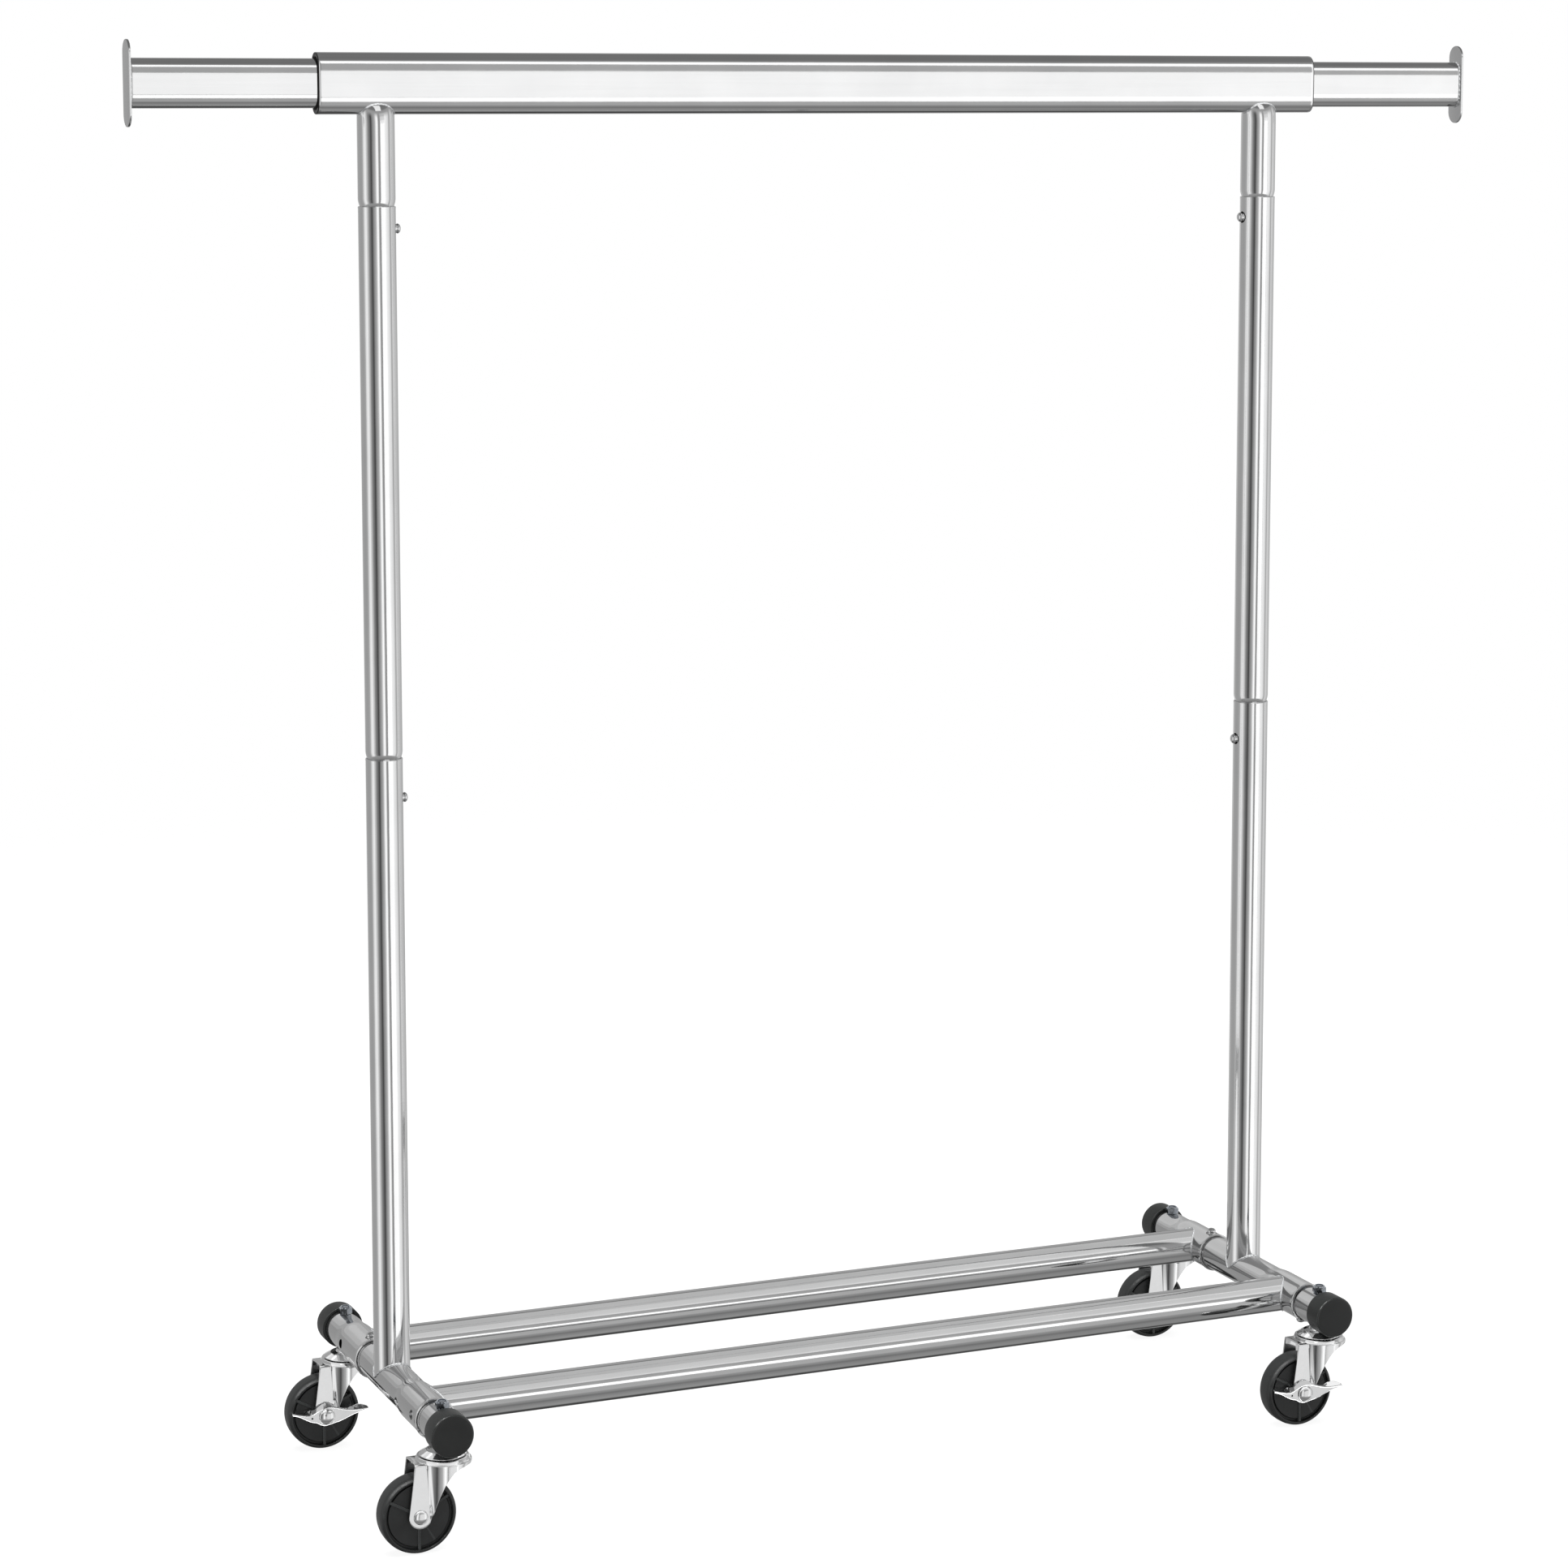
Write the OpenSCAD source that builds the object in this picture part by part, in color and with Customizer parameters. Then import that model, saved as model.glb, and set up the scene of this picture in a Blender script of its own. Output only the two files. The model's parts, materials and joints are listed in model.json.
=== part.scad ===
// Rolling clothes rack: two welded foot frames on casters, two-piece posts
// with snap-button joints, and a flat oval hanging rail with an extension
// bar that slides out of each end.
// Origin: on the floor, midway between the feet.  +X runs along the rack,
// +Y to the back, +Z up.

/* [Overall] */
// Distance between the axes of the two posts
post_span = 1012; // [860:1:1100]
// Height of the top of the hanging rail above the floor
rail_top = 1498; // [1470:1:1600]
// Depth of the base, over the end caps
base_depth = 413; // [405:1:440]

/* [Hanging rail] */
// Length of the fixed rail
rail_length = 1135; // [1100:1:1200]
// Height of the rail's oval section
rail_height = 62; // [61:0.5:64]
// Thickness of the rail's oval section
rail_thick = 26; // [25.6:0.2:28]
// Wall of the rail and of the extension bars
rail_wall = 1.2; // [1:0.1:1.2]
// Height of the extension bar's oval section
bar_height = 49.5; // [46:0.5:50]
// Thickness of the extension bar's oval section
bar_thick = 20.4; // [18:0.2:20.4]
// Length of each extension bar
bar_length = 320; // [300:1:400]
// How far each bar stands out of the rail
bar_out = 190; // [20:1:190]
// Height of the plate that closes the bar's end
plate_height = 86; // [70:1:90]
// Thickness of that plate
plate_thick = 2.5; // [1.5:0.5:4]

/* [Tubes] */
// Outside diameter of the posts, feet and base rails
tube_d = 38; // [37.6:0.1:38.4]
// Wall of those tubes
tube_wall = 1.5; // [1.2:0.1:1.6]
// Outside diameter of the swollen sockets in the feet
socket_d = 41.5; // [41.4:0.1:42]
// Height of the lower joint in each post
joint_low = 780.7; // [600:1:900]
// Length of post between its two joints
middle_length = 563.3; // [450:1:580]
// Distance from the middle of the foot to each base rail
rail_y = 104; // [96:1:110]

/* [Casters] */
// Diameter of the wheels
wheel_d = 80; // [76:1:80]
// Width of the wheels
wheel_w = 24; // [20:1:25]
// Distance from the stem to the wheel's axle
trail = 28.5; // [27:0.5:29]
// Distance from the middle of the foot to each stem
stem_y = 171; // [168:1:172]
// Height of the caster under the foot tube
caster_h = 107; // [107:1:112]

/* [Hidden] */
$fn = 64;
px = post_span/2;              // post axis
tr = tube_d/2;                 // tube radius
ti = tr - tube_wall;           // tube inner radius
sr = socket_d/2;               // socket radius
si = sr - tube_wall;           // socket inner radius
fz = caster_h + tr;            // foot axis height
spr = ti - 0.2;                // spigot radius
spi = spr - tube_wall;         // spigot inner radius
joint_high = joint_low + middle_length;
rail_z = rail_top - rail_height/2;
hr = rail_thick/2;
foot_end = base_depth/2 - 2.5; // end of the foot tube
ax_z = wheel_d/2;              // axle height
btn_r = 5;                     // snap button radius
btn_h = 5.5;                   // button height above the outer tube
btn_t = 7.2;                   // button travel
bar_in = bar_length - bar_out; // bar left inside the rail
chrome = [0.80, 0.81, 0.82];
zinc = [0.72, 0.76, 0.80];
black = [0.14, 0.15, 0.15];

// ---------- helpers ----------

// upright oval: two half circles joined by straight sides
module oval(h, t) {
    square([t, h - t], center = true);
    for (s = [-1, 1]) translate([0, s*(h - t)/2]) circle(d = t);
}
// oval prism along X from x0 to x1, centred on the rail's axis
module oval_bar(x0, x1, h, t) {
    translate([x0, 0, rail_z]) rotate([90, 0, 90]) linear_extrude(x1 - x0) oval(h, t);
}
module oval_tube(x0, x1, h, t, w) {
    difference() {
        oval_bar(x0, x1, h, t);
        oval_bar(x0 - 1, x1 + 1, h - 2*w, t - 2*w);
    }
}
// cylinder along X or Y
module xcyl(r, x0, x1, y = 0, z = 0) {
    translate([x0, y, z]) rotate([0, 90, 0]) cylinder(r = r, h = x1 - x0);
}
module ycyl(r, y0, y1, x = 0, z = 0) {
    translate([x, y1, z]) rotate([90, 0, 0]) cylinder(r = r, h = y1 - y0);
}
module mirror_x(on) { if (on) mirror([1, 0, 0]) children(); else children(); }
// points of an arc
function arc(cx, cy, r, a0, a1, n) = [for (i = [0:n]) let(a = a0 + (a1 - a0)*i/n) [cx + r*cos(a), cy + r*sin(a)]];
// quarter-round drawn-in shoulder from radius ra to rb, walls w, as outer points
function shoulder(ra, rb, z0, z1, n) = [for (i = [0:n]) let(a = 90*i/n) [rb + (ra - rb)*cos(a), z0 + (z1 - z0)*sin(a)]];

// ---------- hanging rail ----------

module rail_sleeve() color(chrome)
    oval_tube(-rail_length/2, rail_length/2, rail_height, rail_thick, rail_wall);

module rail_guide() color(black) difference() {
    oval_bar(rail_length/2 - 100, rail_length/2 - 0.3, rail_height - 2*rail_wall - 0.1, rail_thick - 2*rail_wall - 0.1);
    oval_bar(rail_length/2 - 101, rail_length/2 + 1, bar_height + 0.6, bar_thick + 0.6);
}
module rail_guide_left() mirror_x(true) rail_guide();
module rail_guide_right() rail_guide();

module bar() color(chrome)
    oval_tube(rail_length/2 - bar_in, rail_length/2 + bar_out, bar_height, bar_thick, rail_wall);
module bar_left() mirror_x(true) bar();
module bar_right() bar();

module bar_glide() color(black) difference() {
    oval_bar(rail_length/2 - bar_in, rail_length/2 - bar_in + 29.5, rail_height - 2*rail_wall - 0.6, rail_thick - 2*rail_wall - 0.6);
    oval_bar(rail_length/2 - bar_in - 1, rail_length/2 - bar_in + 31, bar_height + 0.04, bar_thick + 0.04);
}
module bar_glide_left() mirror_x(true) bar_glide();
module bar_glide_right() bar_glide();

module end_plate() color(chrome)
    oval_bar(rail_length/2 + bar_out, rail_length/2 + bar_out + plate_thick, plate_height, rail_thick);
module end_plate_left() mirror_x(true) end_plate();
module end_plate_right() end_plate();

// ---------- posts ----------

// drawn-down lower end: shoulder at z0, spigot of length len below it
module drawn_tube(z0, z1, len) {
    difference() {
        rotate_extrude() polygon(concat(
            [[0, z0 - len], [spr, z0 - len]],
            shoulder(spr, tr, z0, z0 + 4.5, 4),
            [[tr, z1], [0, z1]]));
        rotate_extrude() polygon(concat(
            [[0, z0 - len - 1], [spi, z0 - len - 1]],
            shoulder(spi, ti, z0, z0 + 4.5, 4),
            [[ti, z1 + 1], [0, z1 + 1]]));
    }
}

// hole through the +X side of a post for the snap button
module post_hole(z, r) xcyl(r, 8, 30, 0, z);

module stub_post_at() color(chrome) difference() {
    union() {
        drawn_tube(joint_high, rail_z - 37, 45);
        difference() {
            translate([0, 0, rail_z - 37]) rotate_extrude() polygon([[0, 0], [tr, 0], [tr - 0.5, 4], [tr - 1.8, 8], [tr - 3.8, 12], [tr - 5.6, 15], [tr - 6.6, 18], [0, 18]]);
            translate([0, 0, rail_z - 37]) rotate_extrude() polygon([[0, -1], [ti, -1], [ti, 0], [ti - 0.5, 4], [ti - 1.8, 8], [ti - 3.8, 12], [ti - 5.6, 15], [ti - 6.6, 19], [0, 19]]);
        }
    }
    post_hole(joint_high - 22.5, 5.3);
    oval_bar(-40, 40, rail_height + 0.04, rail_thick + 0.04);
}
module stub_post_left() translate([-px, 0, 0]) stub_post_at();
module stub_post_right() mirror_x(true) translate([-px, 0, 0]) stub_post_at();

module middle_post_at() color(chrome) difference() {
    drawn_tube(joint_low, joint_high, 65);
    post_hole(joint_low - 42, 5.3);
    post_hole(joint_high - 22.5, 6.3);
}
module middle_post_left() translate([-px, 0, 0]) middle_post_at();
module middle_post_right() mirror_x(true) translate([-px, 0, 0]) middle_post_at();

module lower_post_at() color(chrome) difference() {
    translate([0, 0, fz]) cylinder(r = tr, h = joint_low - fz);
    translate([0, 0, fz - 1]) cylinder(r = ti, h = joint_low - fz + 2);
    ycyl(tr + 0.02, -40, 40, 0, fz);
    post_hole(joint_low - 42, 6.3);
}
module lower_post_left() translate([-px, 0, 0]) lower_post_at();
module lower_post_right() mirror_x(true) translate([-px, 0, 0]) lower_post_at();

// ---------- feet ----------

// tube of changing radius along Y: list of [y, r] outside points
module y_shell(p) {
    n = len(p);
    rotate([-90, 0, 0]) difference() {
        rotate_extrude() polygon(concat([[0, p[0][0]]], [for (q = p) [q[1], q[0]]], [[0, p[n - 1][0]]]));
        rotate_extrude() polygon(concat([[0, p[0][0] - 1], [p[0][1] - tube_wall, p[0][0] - 1]],
            [for (q = p) [q[1] - tube_wall, q[0]]],
            [[p[n - 1][1] - tube_wall, p[n - 1][0] + 1], [0, p[n - 1][0] + 1]]));
    }
}

// the left foot, outer side facing -X
module foot_tee_at() color(chrome) difference() {
    translate([0, 0, fz]) y_shell([[-148, sr], [-88, sr], [-72, tr], [89, tr]]);
    translate([0, 75, fz]) cylinder(r = 5.3, h = 40);
    translate([0, -132, fz - 40]) cylinder(r = 6.2, h = 40);
    xcyl(5, -30, 0, -131, fz + 2);
}
module foot_tee_left() translate([-px, 0, 0]) foot_tee_at();
module foot_tee_right() mirror_x(true) translate([-px, 0, 0]) foot_tee_at();

module foot_rear_at() color(chrome) difference() {
    translate([0, 0, fz]) y_shell([[63, sr], [129, sr], [145, tr], [foot_end, tr]]);
    translate([0, 75, fz]) cylinder(r = 6.2, h = 40);
    translate([0, stem_y, fz - 40]) cylinder(r = 4.25, h = 80);
    xcyl(5, -30, 0, 121, fz + 2);
}
module foot_rear_left() translate([-px, 0, 0]) foot_rear_at();
module foot_rear_right() mirror_x(true) translate([-px, 0, 0]) foot_rear_at();

module foot_front_at() color(chrome) difference() {
    translate([0, 0, fz]) y_shell([[-foot_end, tr], [-118, tr]]);
    translate([0, -132, fz - 40]) cylinder(r = 5.3, h = 40);
    translate([0, -stem_y, fz - 40]) cylinder(r = 4.25, h = 80);
}
module foot_front_left() translate([-px, 0, 0]) foot_front_at();
module foot_front_right() mirror_x(true) translate([-px, 0, 0]) foot_front_at();

// push-on end cap, closed end towards +Y
module cap_at() color(black) translate([0, foot_end, fz]) rotate([-90, 0, 0])
    rotate_extrude() polygon(concat(
        [[0, 0.02], [tr + 0.02, 0.02], [tr + 0.02, -22], [tr + 3, -22], [tr + 3.5, -21.4]],
        arc(tr + 1.5, 0.5, 2, 0, 90, 4),
        [[0, 2.5]]));
module cap_left_rear() translate([-px, 0, 0]) cap_at();
module cap_right_rear() translate([px, 0, 0]) cap_at();
module cap_left_front() translate([-px, 0, 0]) mirror([0, 1, 0]) cap_at();
module cap_right_front() translate([px, 0, 0]) mirror([0, 1, 0]) cap_at();

// ---------- base rails ----------

module base_rail_at(y) color(chrome) difference() {
    xcyl(tr, -px + 5, px - 5, y, fz);
    xcyl(ti, -px + 4, px - 4, y, fz);
    for (s = [-1, 1]) {
        ycyl(sr + 0.02, y - 30, y + 30, s*px, fz);
        translate([s*(px - 36), y, fz - 30]) cylinder(r = 3.3, h = 30);
    }
}
module base_rail_front() base_rail_at(-rail_y);
module base_rail_rear() base_rail_at(rail_y);

// short spigots welded to the feet inside the ends of the base rails
module rail_spigots() color(chrome)
    for (s = [0, 1], y = [-rail_y, rail_y]) mirror([s, 0, 0]) difference() {
        xcyl(spr, px - 51, px - 5, y, fz);
        xcyl(spi, px - 52, px, y, fz);
        ycyl(sr + 0.02, y - 30, y + 30, px, fz);
        translate([px - 36, y, fz - 30]) cylinder(r = 3.02, h = 30);
    }

// socket set screws, flush with the undersides of the base rails, up into the spigots
module rail_screws() color(zinc)
    for (x = [-px + 36, px - 36], y = [-rail_y, rail_y]) translate([x, y, fz - tr]) {
        difference() {
            rotate_extrude($fn = 48) polygon([[0, 0.3], [2.6, 0.3], [3, 0.7], [3, 7.6], [2.6, 8], [0, 8]]);
            translate([0, 0, -1]) cylinder(d = 3/cos(30), h = 4, $fn = 6);
        }
    }

// ---------- casters ----------

module at_stems() for (x = [-px, px], y = [-stem_y, stem_y]) translate([x, y, 0]) children();
module stem_pos(sx, sy) translate([sx*px, sy*stem_y, 0]) children();
dz = caster_h - 107;  // raises the swivel with the tube

// hexagon nuts on top of the foot tubes
module stem_nuts() color(zinc) at_stems() translate([0, 0, fz + tr]) difference() {
    intersection() {
        cylinder(d = 13/cos(30), h = 6.6, $fn = 6);
        translate([0, 0, -0.1]) rotate_extrude($fn = 64) polygon([[0, 0], [8, 0], [8, 5.9], [6.5, 6.8], [0, 6.8]]);
    }
    translate([0, 0, -1]) cylinder(r = 4.02, h = 9);
}

// threaded stem with the king pin under it
module caster_stems() color(zinc) at_stems() translate([0, 0, dz]) rotate_extrude()
    polygon([[0, 88.5], [6.5, 88.5], [8, 89.6], [8, 91.7], [5, 91.7], [5, 104.9], [4, 104.9], [4, 151.4 + tube_d - 38], [3.2, 152.2 + tube_d - 38], [0, 152.2 + tube_d - 38]]);

// upper race: pressed cup under the foot tube
module swivel_cups() color(chrome) at_stems() translate([0, 0, dz]) rotate_extrude() difference() {
    polygon([[4.02, 106.9], [8.5, 106.9], [11, 103.3], [23.5, 103.1], [25.6, 102.4], [26.5, 101], [26.5, 98.4], [13, 98.4], [11, 101.3], [9, 104.9], [4.02, 104.9]]);
    translate([18, 98]) circle(r = 2.6);
}
module swivel_balls() color(zinc) at_stems()
    for (i = [0:11]) rotate(i*30) translate([18, 0, 98 + dz]) sphere(r = 2.5, $fn = 32);

// side outline of the fork, seen from the front
function fork_side() = concat(
    [[-33.8, 94.5], [-35, 86], [-38.6, 64]],
    arc(-trail, ax_z, 12, 172, 320, 9),
    [[-17.4, 39.4], [-14.5, 48.2], [-9.7, 60.5], [-5.2, 71.8], [-0.5, 80.5], [4.5, 86.4], [11, 89.2], [20, 90.2], [31, 90.4], [31, 94.5]]);
module fork_shape(w, r, ys, top, x0) intersection() {
    union() {
        translate([x0, -w, 0]) cube([-x0 - 10, 2*w, top]);
        translate([1.5, 0, 0]) cylinder(r = r, h = top);
    }
    rotate([90, 0, 90]) linear_extrude(200, center = true)
        polygon([[-r - 1, top + 1], [-r - 1, 88], [-r, 86], [-ys, 45], [-ys, -1], [ys, -1], [ys, 45], [r, 86], [r + 1, 88], [r + 1, top + 1]]);
}
module fork_at(brake) color(chrome) difference() {
    union() {
        intersection() {
            fork_shape(16, 28.3, 17.7, 94.5, -50);
            translate([0, 40, 0]) rotate([90, 0, 0]) linear_extrude(80) polygon(fork_side());
        }
        translate([0, 0, 94]) cylinder(r = 25.5, h = 3.6);
    }
    fork_shape(14, 26.3, 15.7, 92, -60);
    translate([0, 0, 80]) cylinder(r = 5.05, h = 30);
    translate([0, 0, 98]) rotate_extrude() translate([18, 0]) circle(r = 2.6);
    ycyl(4.02, -30, 30, -trail, ax_z);
}
module fork_left_front() stem_pos(-1, -1) translate([0, 0, dz]) fork_at();
module fork_left_rear() stem_pos(-1, 1) translate([0, 0, dz]) fork_at();
module fork_right_front() stem_pos(1, -1) translate([0, 0, dz]) fork_at();
module fork_right_rear() stem_pos(1, 1) translate([0, 0, dz]) fork_at();

// domed head, flat side at 0, dome towards +Z
module rivet_head(r, h) rotate_extrude() polygon([[0, 0], [r, 0], [r, 0.25*h], [0.9*r, 0.55*h], [0.66*r, 0.85*h], [0.3*r, h], [0, h]]);
module axle_at(brake) color(zinc) translate([-trail, 0, ax_z + dz]) {
    y0 = brake ? -22.4 : -16.05;
    ycyl(4, y0 - 0.1, 16.15);
    translate([0, y0, 0]) rotate([90, 0, 0]) rivet_head(brake ? 8.2 : 7.5, brake ? 4.2 : 3.2);
    translate([0, 16.05, 0]) rotate([-90, 0, 0]) rivet_head(6.5, 2.6);
}
module axle_left_front() stem_pos(-1, -1) axle_at(false);
module axle_left_rear() stem_pos(-1, 1) axle_at(true);
module axle_right_front() stem_pos(1, -1) axle_at(true);
module axle_right_rear() stem_pos(1, 1) axle_at(false);

// half outline of the wheel: [radius, half width]
function wheel_half(w, r) = [[4.05, w + 1.2], [9.5, w + 1.2], [10.5, w - 2.6], [r - 7.6, w - 2.6], [r - 7, w - 4.2], [r - 5, w - 4.2], [r - 4.6, w], [r - 3.6, w], [r - 1.9, w - 0.6], [r - 0.7, w - 2], [r, w - 4.6]];
function flip(l) = [for (i = [len(l) - 1:-1:0]) [l[i][0], -l[i][1]]];
module wheel_at() color(black) translate([-trail, 0, ax_z + dz]) rotate([90, 0, 0]) {
    difference() {
        union() {
            rotate_extrude() polygon(concat(wheel_half(wheel_w/2, wheel_d/2), flip(wheel_half(wheel_w/2, wheel_d/2))));
            for (a = [30, 150, 270], s = [0, 1]) mirror([0, 0, s]) rotate(a)
                translate([7, -1.65, wheel_w/2 - 5]) cube([wheel_d/2 - 4.8 - 7, 3.3, 4]);
        }
        translate([0, 0, -20]) cylinder(r = 4.05, h = 40);
    }
}
module wheel_left_front() stem_pos(-1, -1) wheel_at();
module wheel_left_rear() stem_pos(-1, 1) wheel_at();
module wheel_right_front() stem_pos(1, -1) wheel_at();
module wheel_right_rear() stem_pos(1, 1) wheel_at();

// rocking brake lever: pressed plate on the axle with a pedal at each end
module lever_at() color(chrome) translate([0, 0, dz]) difference() {
    union() {
        translate([0, -20.6, 0]) rotate([90, 0, 0]) linear_extrude(1.5) polygon(concat(
            [[-66.5, 45.2], [-58, 42], [-47, 34.8], [-41, 33.8], [-36, 31], [-31.3, 29.5], [-24.3, 30.6], [-15, 32], [-4, 36.5], [8, 39.6], [17.5, 41], [17.5, 43.4], [3, 45], [-7, 45.4], [-13, 47]],
            arc(-trail, ax_z, 12.8, 42, 118, 6),
            [[-40, 46.6], [-50, 45.6], [-58, 45.8], [-66.5, 46.7]]));
        // pedals, sloping up towards the wheel
        translate([-67, -22.1, 44.8]) rotate([18, 0, 0]) cube([22, 9.4, 1.5]);
        translate([1, -22.1, 42]) rotate([18, 0, 0]) cube([17.5, 9.4, 1.5]);
    }
    ycyl(4.05, -40, 0, -trail, ax_z);
    ycyl(1.1, -40, 0, -45, 40.6);
}
module brake_lever_left_rear() stem_pos(-1, 1) lever_at();
module brake_lever_right_front() stem_pos(1, -1) lever_at();

// ---------- snap buttons ----------

// tube axis along X, button towards +Z at the origin, fold of the spring
// clip at -X; ri: inner radius of the tube it sits in, ro: outer radius of
// the outermost tube
module snap_button(ri, ro, len) color(zinc) {
    chord = sqrt(ri*ri - 5.3*5.3);
    z1 = chord - 0.25;           // outer face of the button's leg
    z2 = chord - btn_t - 0.3;    // outer face of the far leg
    m = (z1 - z2)/2;
    rr = (z1 + z2)/2;
    translate([0, 5.3, 0]) rotate([90, 0, 0]) linear_extrude(10.6) polygon(concat(
        [[8, z1]], arc(-len, m, rr, 90, 270, 12), [[-6, -z2], [-6, 1 - z2]],
        arc(-len, m, rr - 1, 270, 90, 12), [[8, z1 - 1]]));
    translate([0, 0, z1 - 0.5]) rotate_extrude() polygon(let(t = ro + btn_h - z1 + 0.5) [[0, 0], [btn_r, 0], [btn_r, t - 3], [4.4, t - 1.5], [2.9, t - 0.4], [1, t], [0, t]]);
}
// in a post: tube axis up, button towards +X, fold upwards
module post_button(z, r) translate([0, 0, z]) rotate([0, 90, 0]) snap_button(r, tr, 34);
module button_upper_left() translate([-px, 0, 0]) post_button(joint_high - 22.5, spi);
module button_upper_right() mirror_x(true) translate([-px, 0, 0]) post_button(joint_high - 22.5, spi);
module button_lower_left() translate([-px, 0, 0]) post_button(joint_low - 42, spi);
module button_lower_right() mirror_x(true) translate([-px, 0, 0]) post_button(joint_low - 42, spi);
// in a foot: tube axis along Y
module rear_button() translate([0, 75, fz]) rotate(90) snap_button(ti, sr, 30);
module front_button() translate([0, -132, fz]) rotate([180, 0, 0]) rotate(90) snap_button(ti, sr, 20);
module button_foot_rear_left() translate([-px, 0, 0]) rear_button();
module button_foot_rear_right() translate([px, 0, 0]) rear_button();
module button_foot_front_left() translate([-px, 0, 0]) front_button();
module button_foot_front_right() translate([px, 0, 0]) front_button();

rail_sleeve();
rail_guide_left();
rail_guide_right();
bar_left();
bar_right();
bar_glide_left();
bar_glide_right();
end_plate_left();
end_plate_right();
stub_post_left();
stub_post_right();
middle_post_left();
middle_post_right();
lower_post_left();
lower_post_right();
foot_tee_left();
foot_tee_right();
foot_rear_left();
foot_rear_right();
foot_front_left();
foot_front_right();
cap_left_rear();
cap_left_front();
cap_right_rear();
cap_right_front();
base_rail_front();
base_rail_rear();
rail_spigots();
rail_screws();
stem_nuts();
caster_stems();
swivel_cups();
swivel_balls();
fork_left_front();
fork_left_rear();
fork_right_front();
fork_right_rear();
axle_left_front();
axle_left_rear();
axle_right_front();
axle_right_rear();
wheel_left_front();
wheel_left_rear();
wheel_right_front();
wheel_right_rear();
brake_lever_left_rear();
brake_lever_right_front();
button_upper_left();
button_upper_right();
button_lower_left();
button_lower_right();
button_foot_rear_left();
button_foot_rear_right();
button_foot_front_left();
button_foot_front_right();
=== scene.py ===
import bpy, bmesh, json, math
import numpy as np
from mathutils import Matrix, Vector

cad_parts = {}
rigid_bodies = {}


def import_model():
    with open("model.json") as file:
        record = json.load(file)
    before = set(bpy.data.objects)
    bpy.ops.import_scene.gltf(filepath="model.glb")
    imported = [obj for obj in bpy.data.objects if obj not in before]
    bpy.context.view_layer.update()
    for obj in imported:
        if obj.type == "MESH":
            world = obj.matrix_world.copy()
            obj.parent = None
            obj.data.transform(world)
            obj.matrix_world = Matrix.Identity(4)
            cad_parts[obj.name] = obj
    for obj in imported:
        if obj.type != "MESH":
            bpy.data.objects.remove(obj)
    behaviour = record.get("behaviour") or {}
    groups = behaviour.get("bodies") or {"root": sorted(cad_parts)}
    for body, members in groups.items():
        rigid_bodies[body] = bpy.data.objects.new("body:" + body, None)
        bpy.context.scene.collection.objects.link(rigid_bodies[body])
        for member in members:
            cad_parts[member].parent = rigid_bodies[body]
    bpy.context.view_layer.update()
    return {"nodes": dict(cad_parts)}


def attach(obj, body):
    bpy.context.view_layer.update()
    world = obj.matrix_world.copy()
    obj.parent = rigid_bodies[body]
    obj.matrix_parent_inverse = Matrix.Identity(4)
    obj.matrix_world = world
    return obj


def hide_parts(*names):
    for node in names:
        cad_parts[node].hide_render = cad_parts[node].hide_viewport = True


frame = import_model()
MM = 0.001
rad = math.radians

# sizes in millimetres, the same as the construction
PX, FZ, TR, TI, SR, SI = 506.0, 126.0, 19.0, 17.5, 20.75, 19.25
SPR, SPI = 17.3, 15.8
JLO, JHI, RAILY, STEMY, ZR = 780.7, 1344.0, 104.0, 171.0, 1467.0
TRAIL, AXZ = 28.5, 40.0
CORNERS = (("left_front", -1, -1), ("left_rear", -1, 1), ("right_front", 1, -1), ("right_rear", 1, 1))


# ------------------------------------------------------------ materials
def new_mat(name):
    m = bpy.data.materials.new(name)
    m.use_nodes = True
    nt = m.node_tree
    b = nt.nodes["Principled BSDF"]
    return m, nt, b


def node(nt, kind, **kw):
    n = nt.nodes.new(kind)
    for k, v in kw.items():
        setattr(n, k, v)
    return n


def coords(nt, scale=(1, 1, 1)):
    tc = node(nt, "ShaderNodeTexCoord")
    mp = node(nt, "ShaderNodeMapping")
    mp.inputs["Scale"].default_value = scale
    nt.links.new(tc.outputs["Object"], mp.inputs["Vector"])
    return mp.outputs["Vector"]


def noise(nt, vec, scale, detail=3.0, rough=0.5, dist=0.0):
    n = node(nt, "ShaderNodeTexNoise")
    n.inputs["Scale"].default_value = scale
    n.inputs["Detail"].default_value = detail
    n.inputs["Roughness"].default_value = rough
    n.inputs["Distortion"].default_value = dist
    nt.links.new(vec, n.inputs["Vector"])
    return n.outputs["Fac"]


def ramp(nt, fac, stops):
    r = node(nt, "ShaderNodeValToRGB")
    e = r.color_ramp.elements
    while len(e) > 1:
        e.remove(e[-1])
    for i, (p, c) in enumerate(stops):
        c = (c, c, c, 1) if isinstance(c, float) else tuple(c) + (1,)
        x = e[0] if i == 0 else e.new(p)
        x.position, x.color = p, c
    nt.links.new(fac, r.inputs["Fac"])
    return r.outputs["Color"]


def mix(nt, fac, a, b, blend="MIX"):
    m = node(nt, "ShaderNodeMix", data_type="RGBA", blend_type=blend)
    for s, v in ((m.inputs[0], fac), (m.inputs[6], a), (m.inputs[7], b)):
        if isinstance(v, (int, float)):
            s.default_value = v
        elif isinstance(v, tuple):
            s.default_value = v + (1,)
        else:
            nt.links.new(v, s)
    return m.outputs[2]


def bump(nt, height, strength, distance, normal=None):
    b = node(nt, "ShaderNodeBump")
    b.inputs["Strength"].default_value = strength
    b.inputs["Distance"].default_value = distance
    nt.links.new(height, b.inputs["Height"])
    if normal is not None:
        nt.links.new(normal, b.inputs["Normal"])
    return b.outputs["Normal"]


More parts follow.
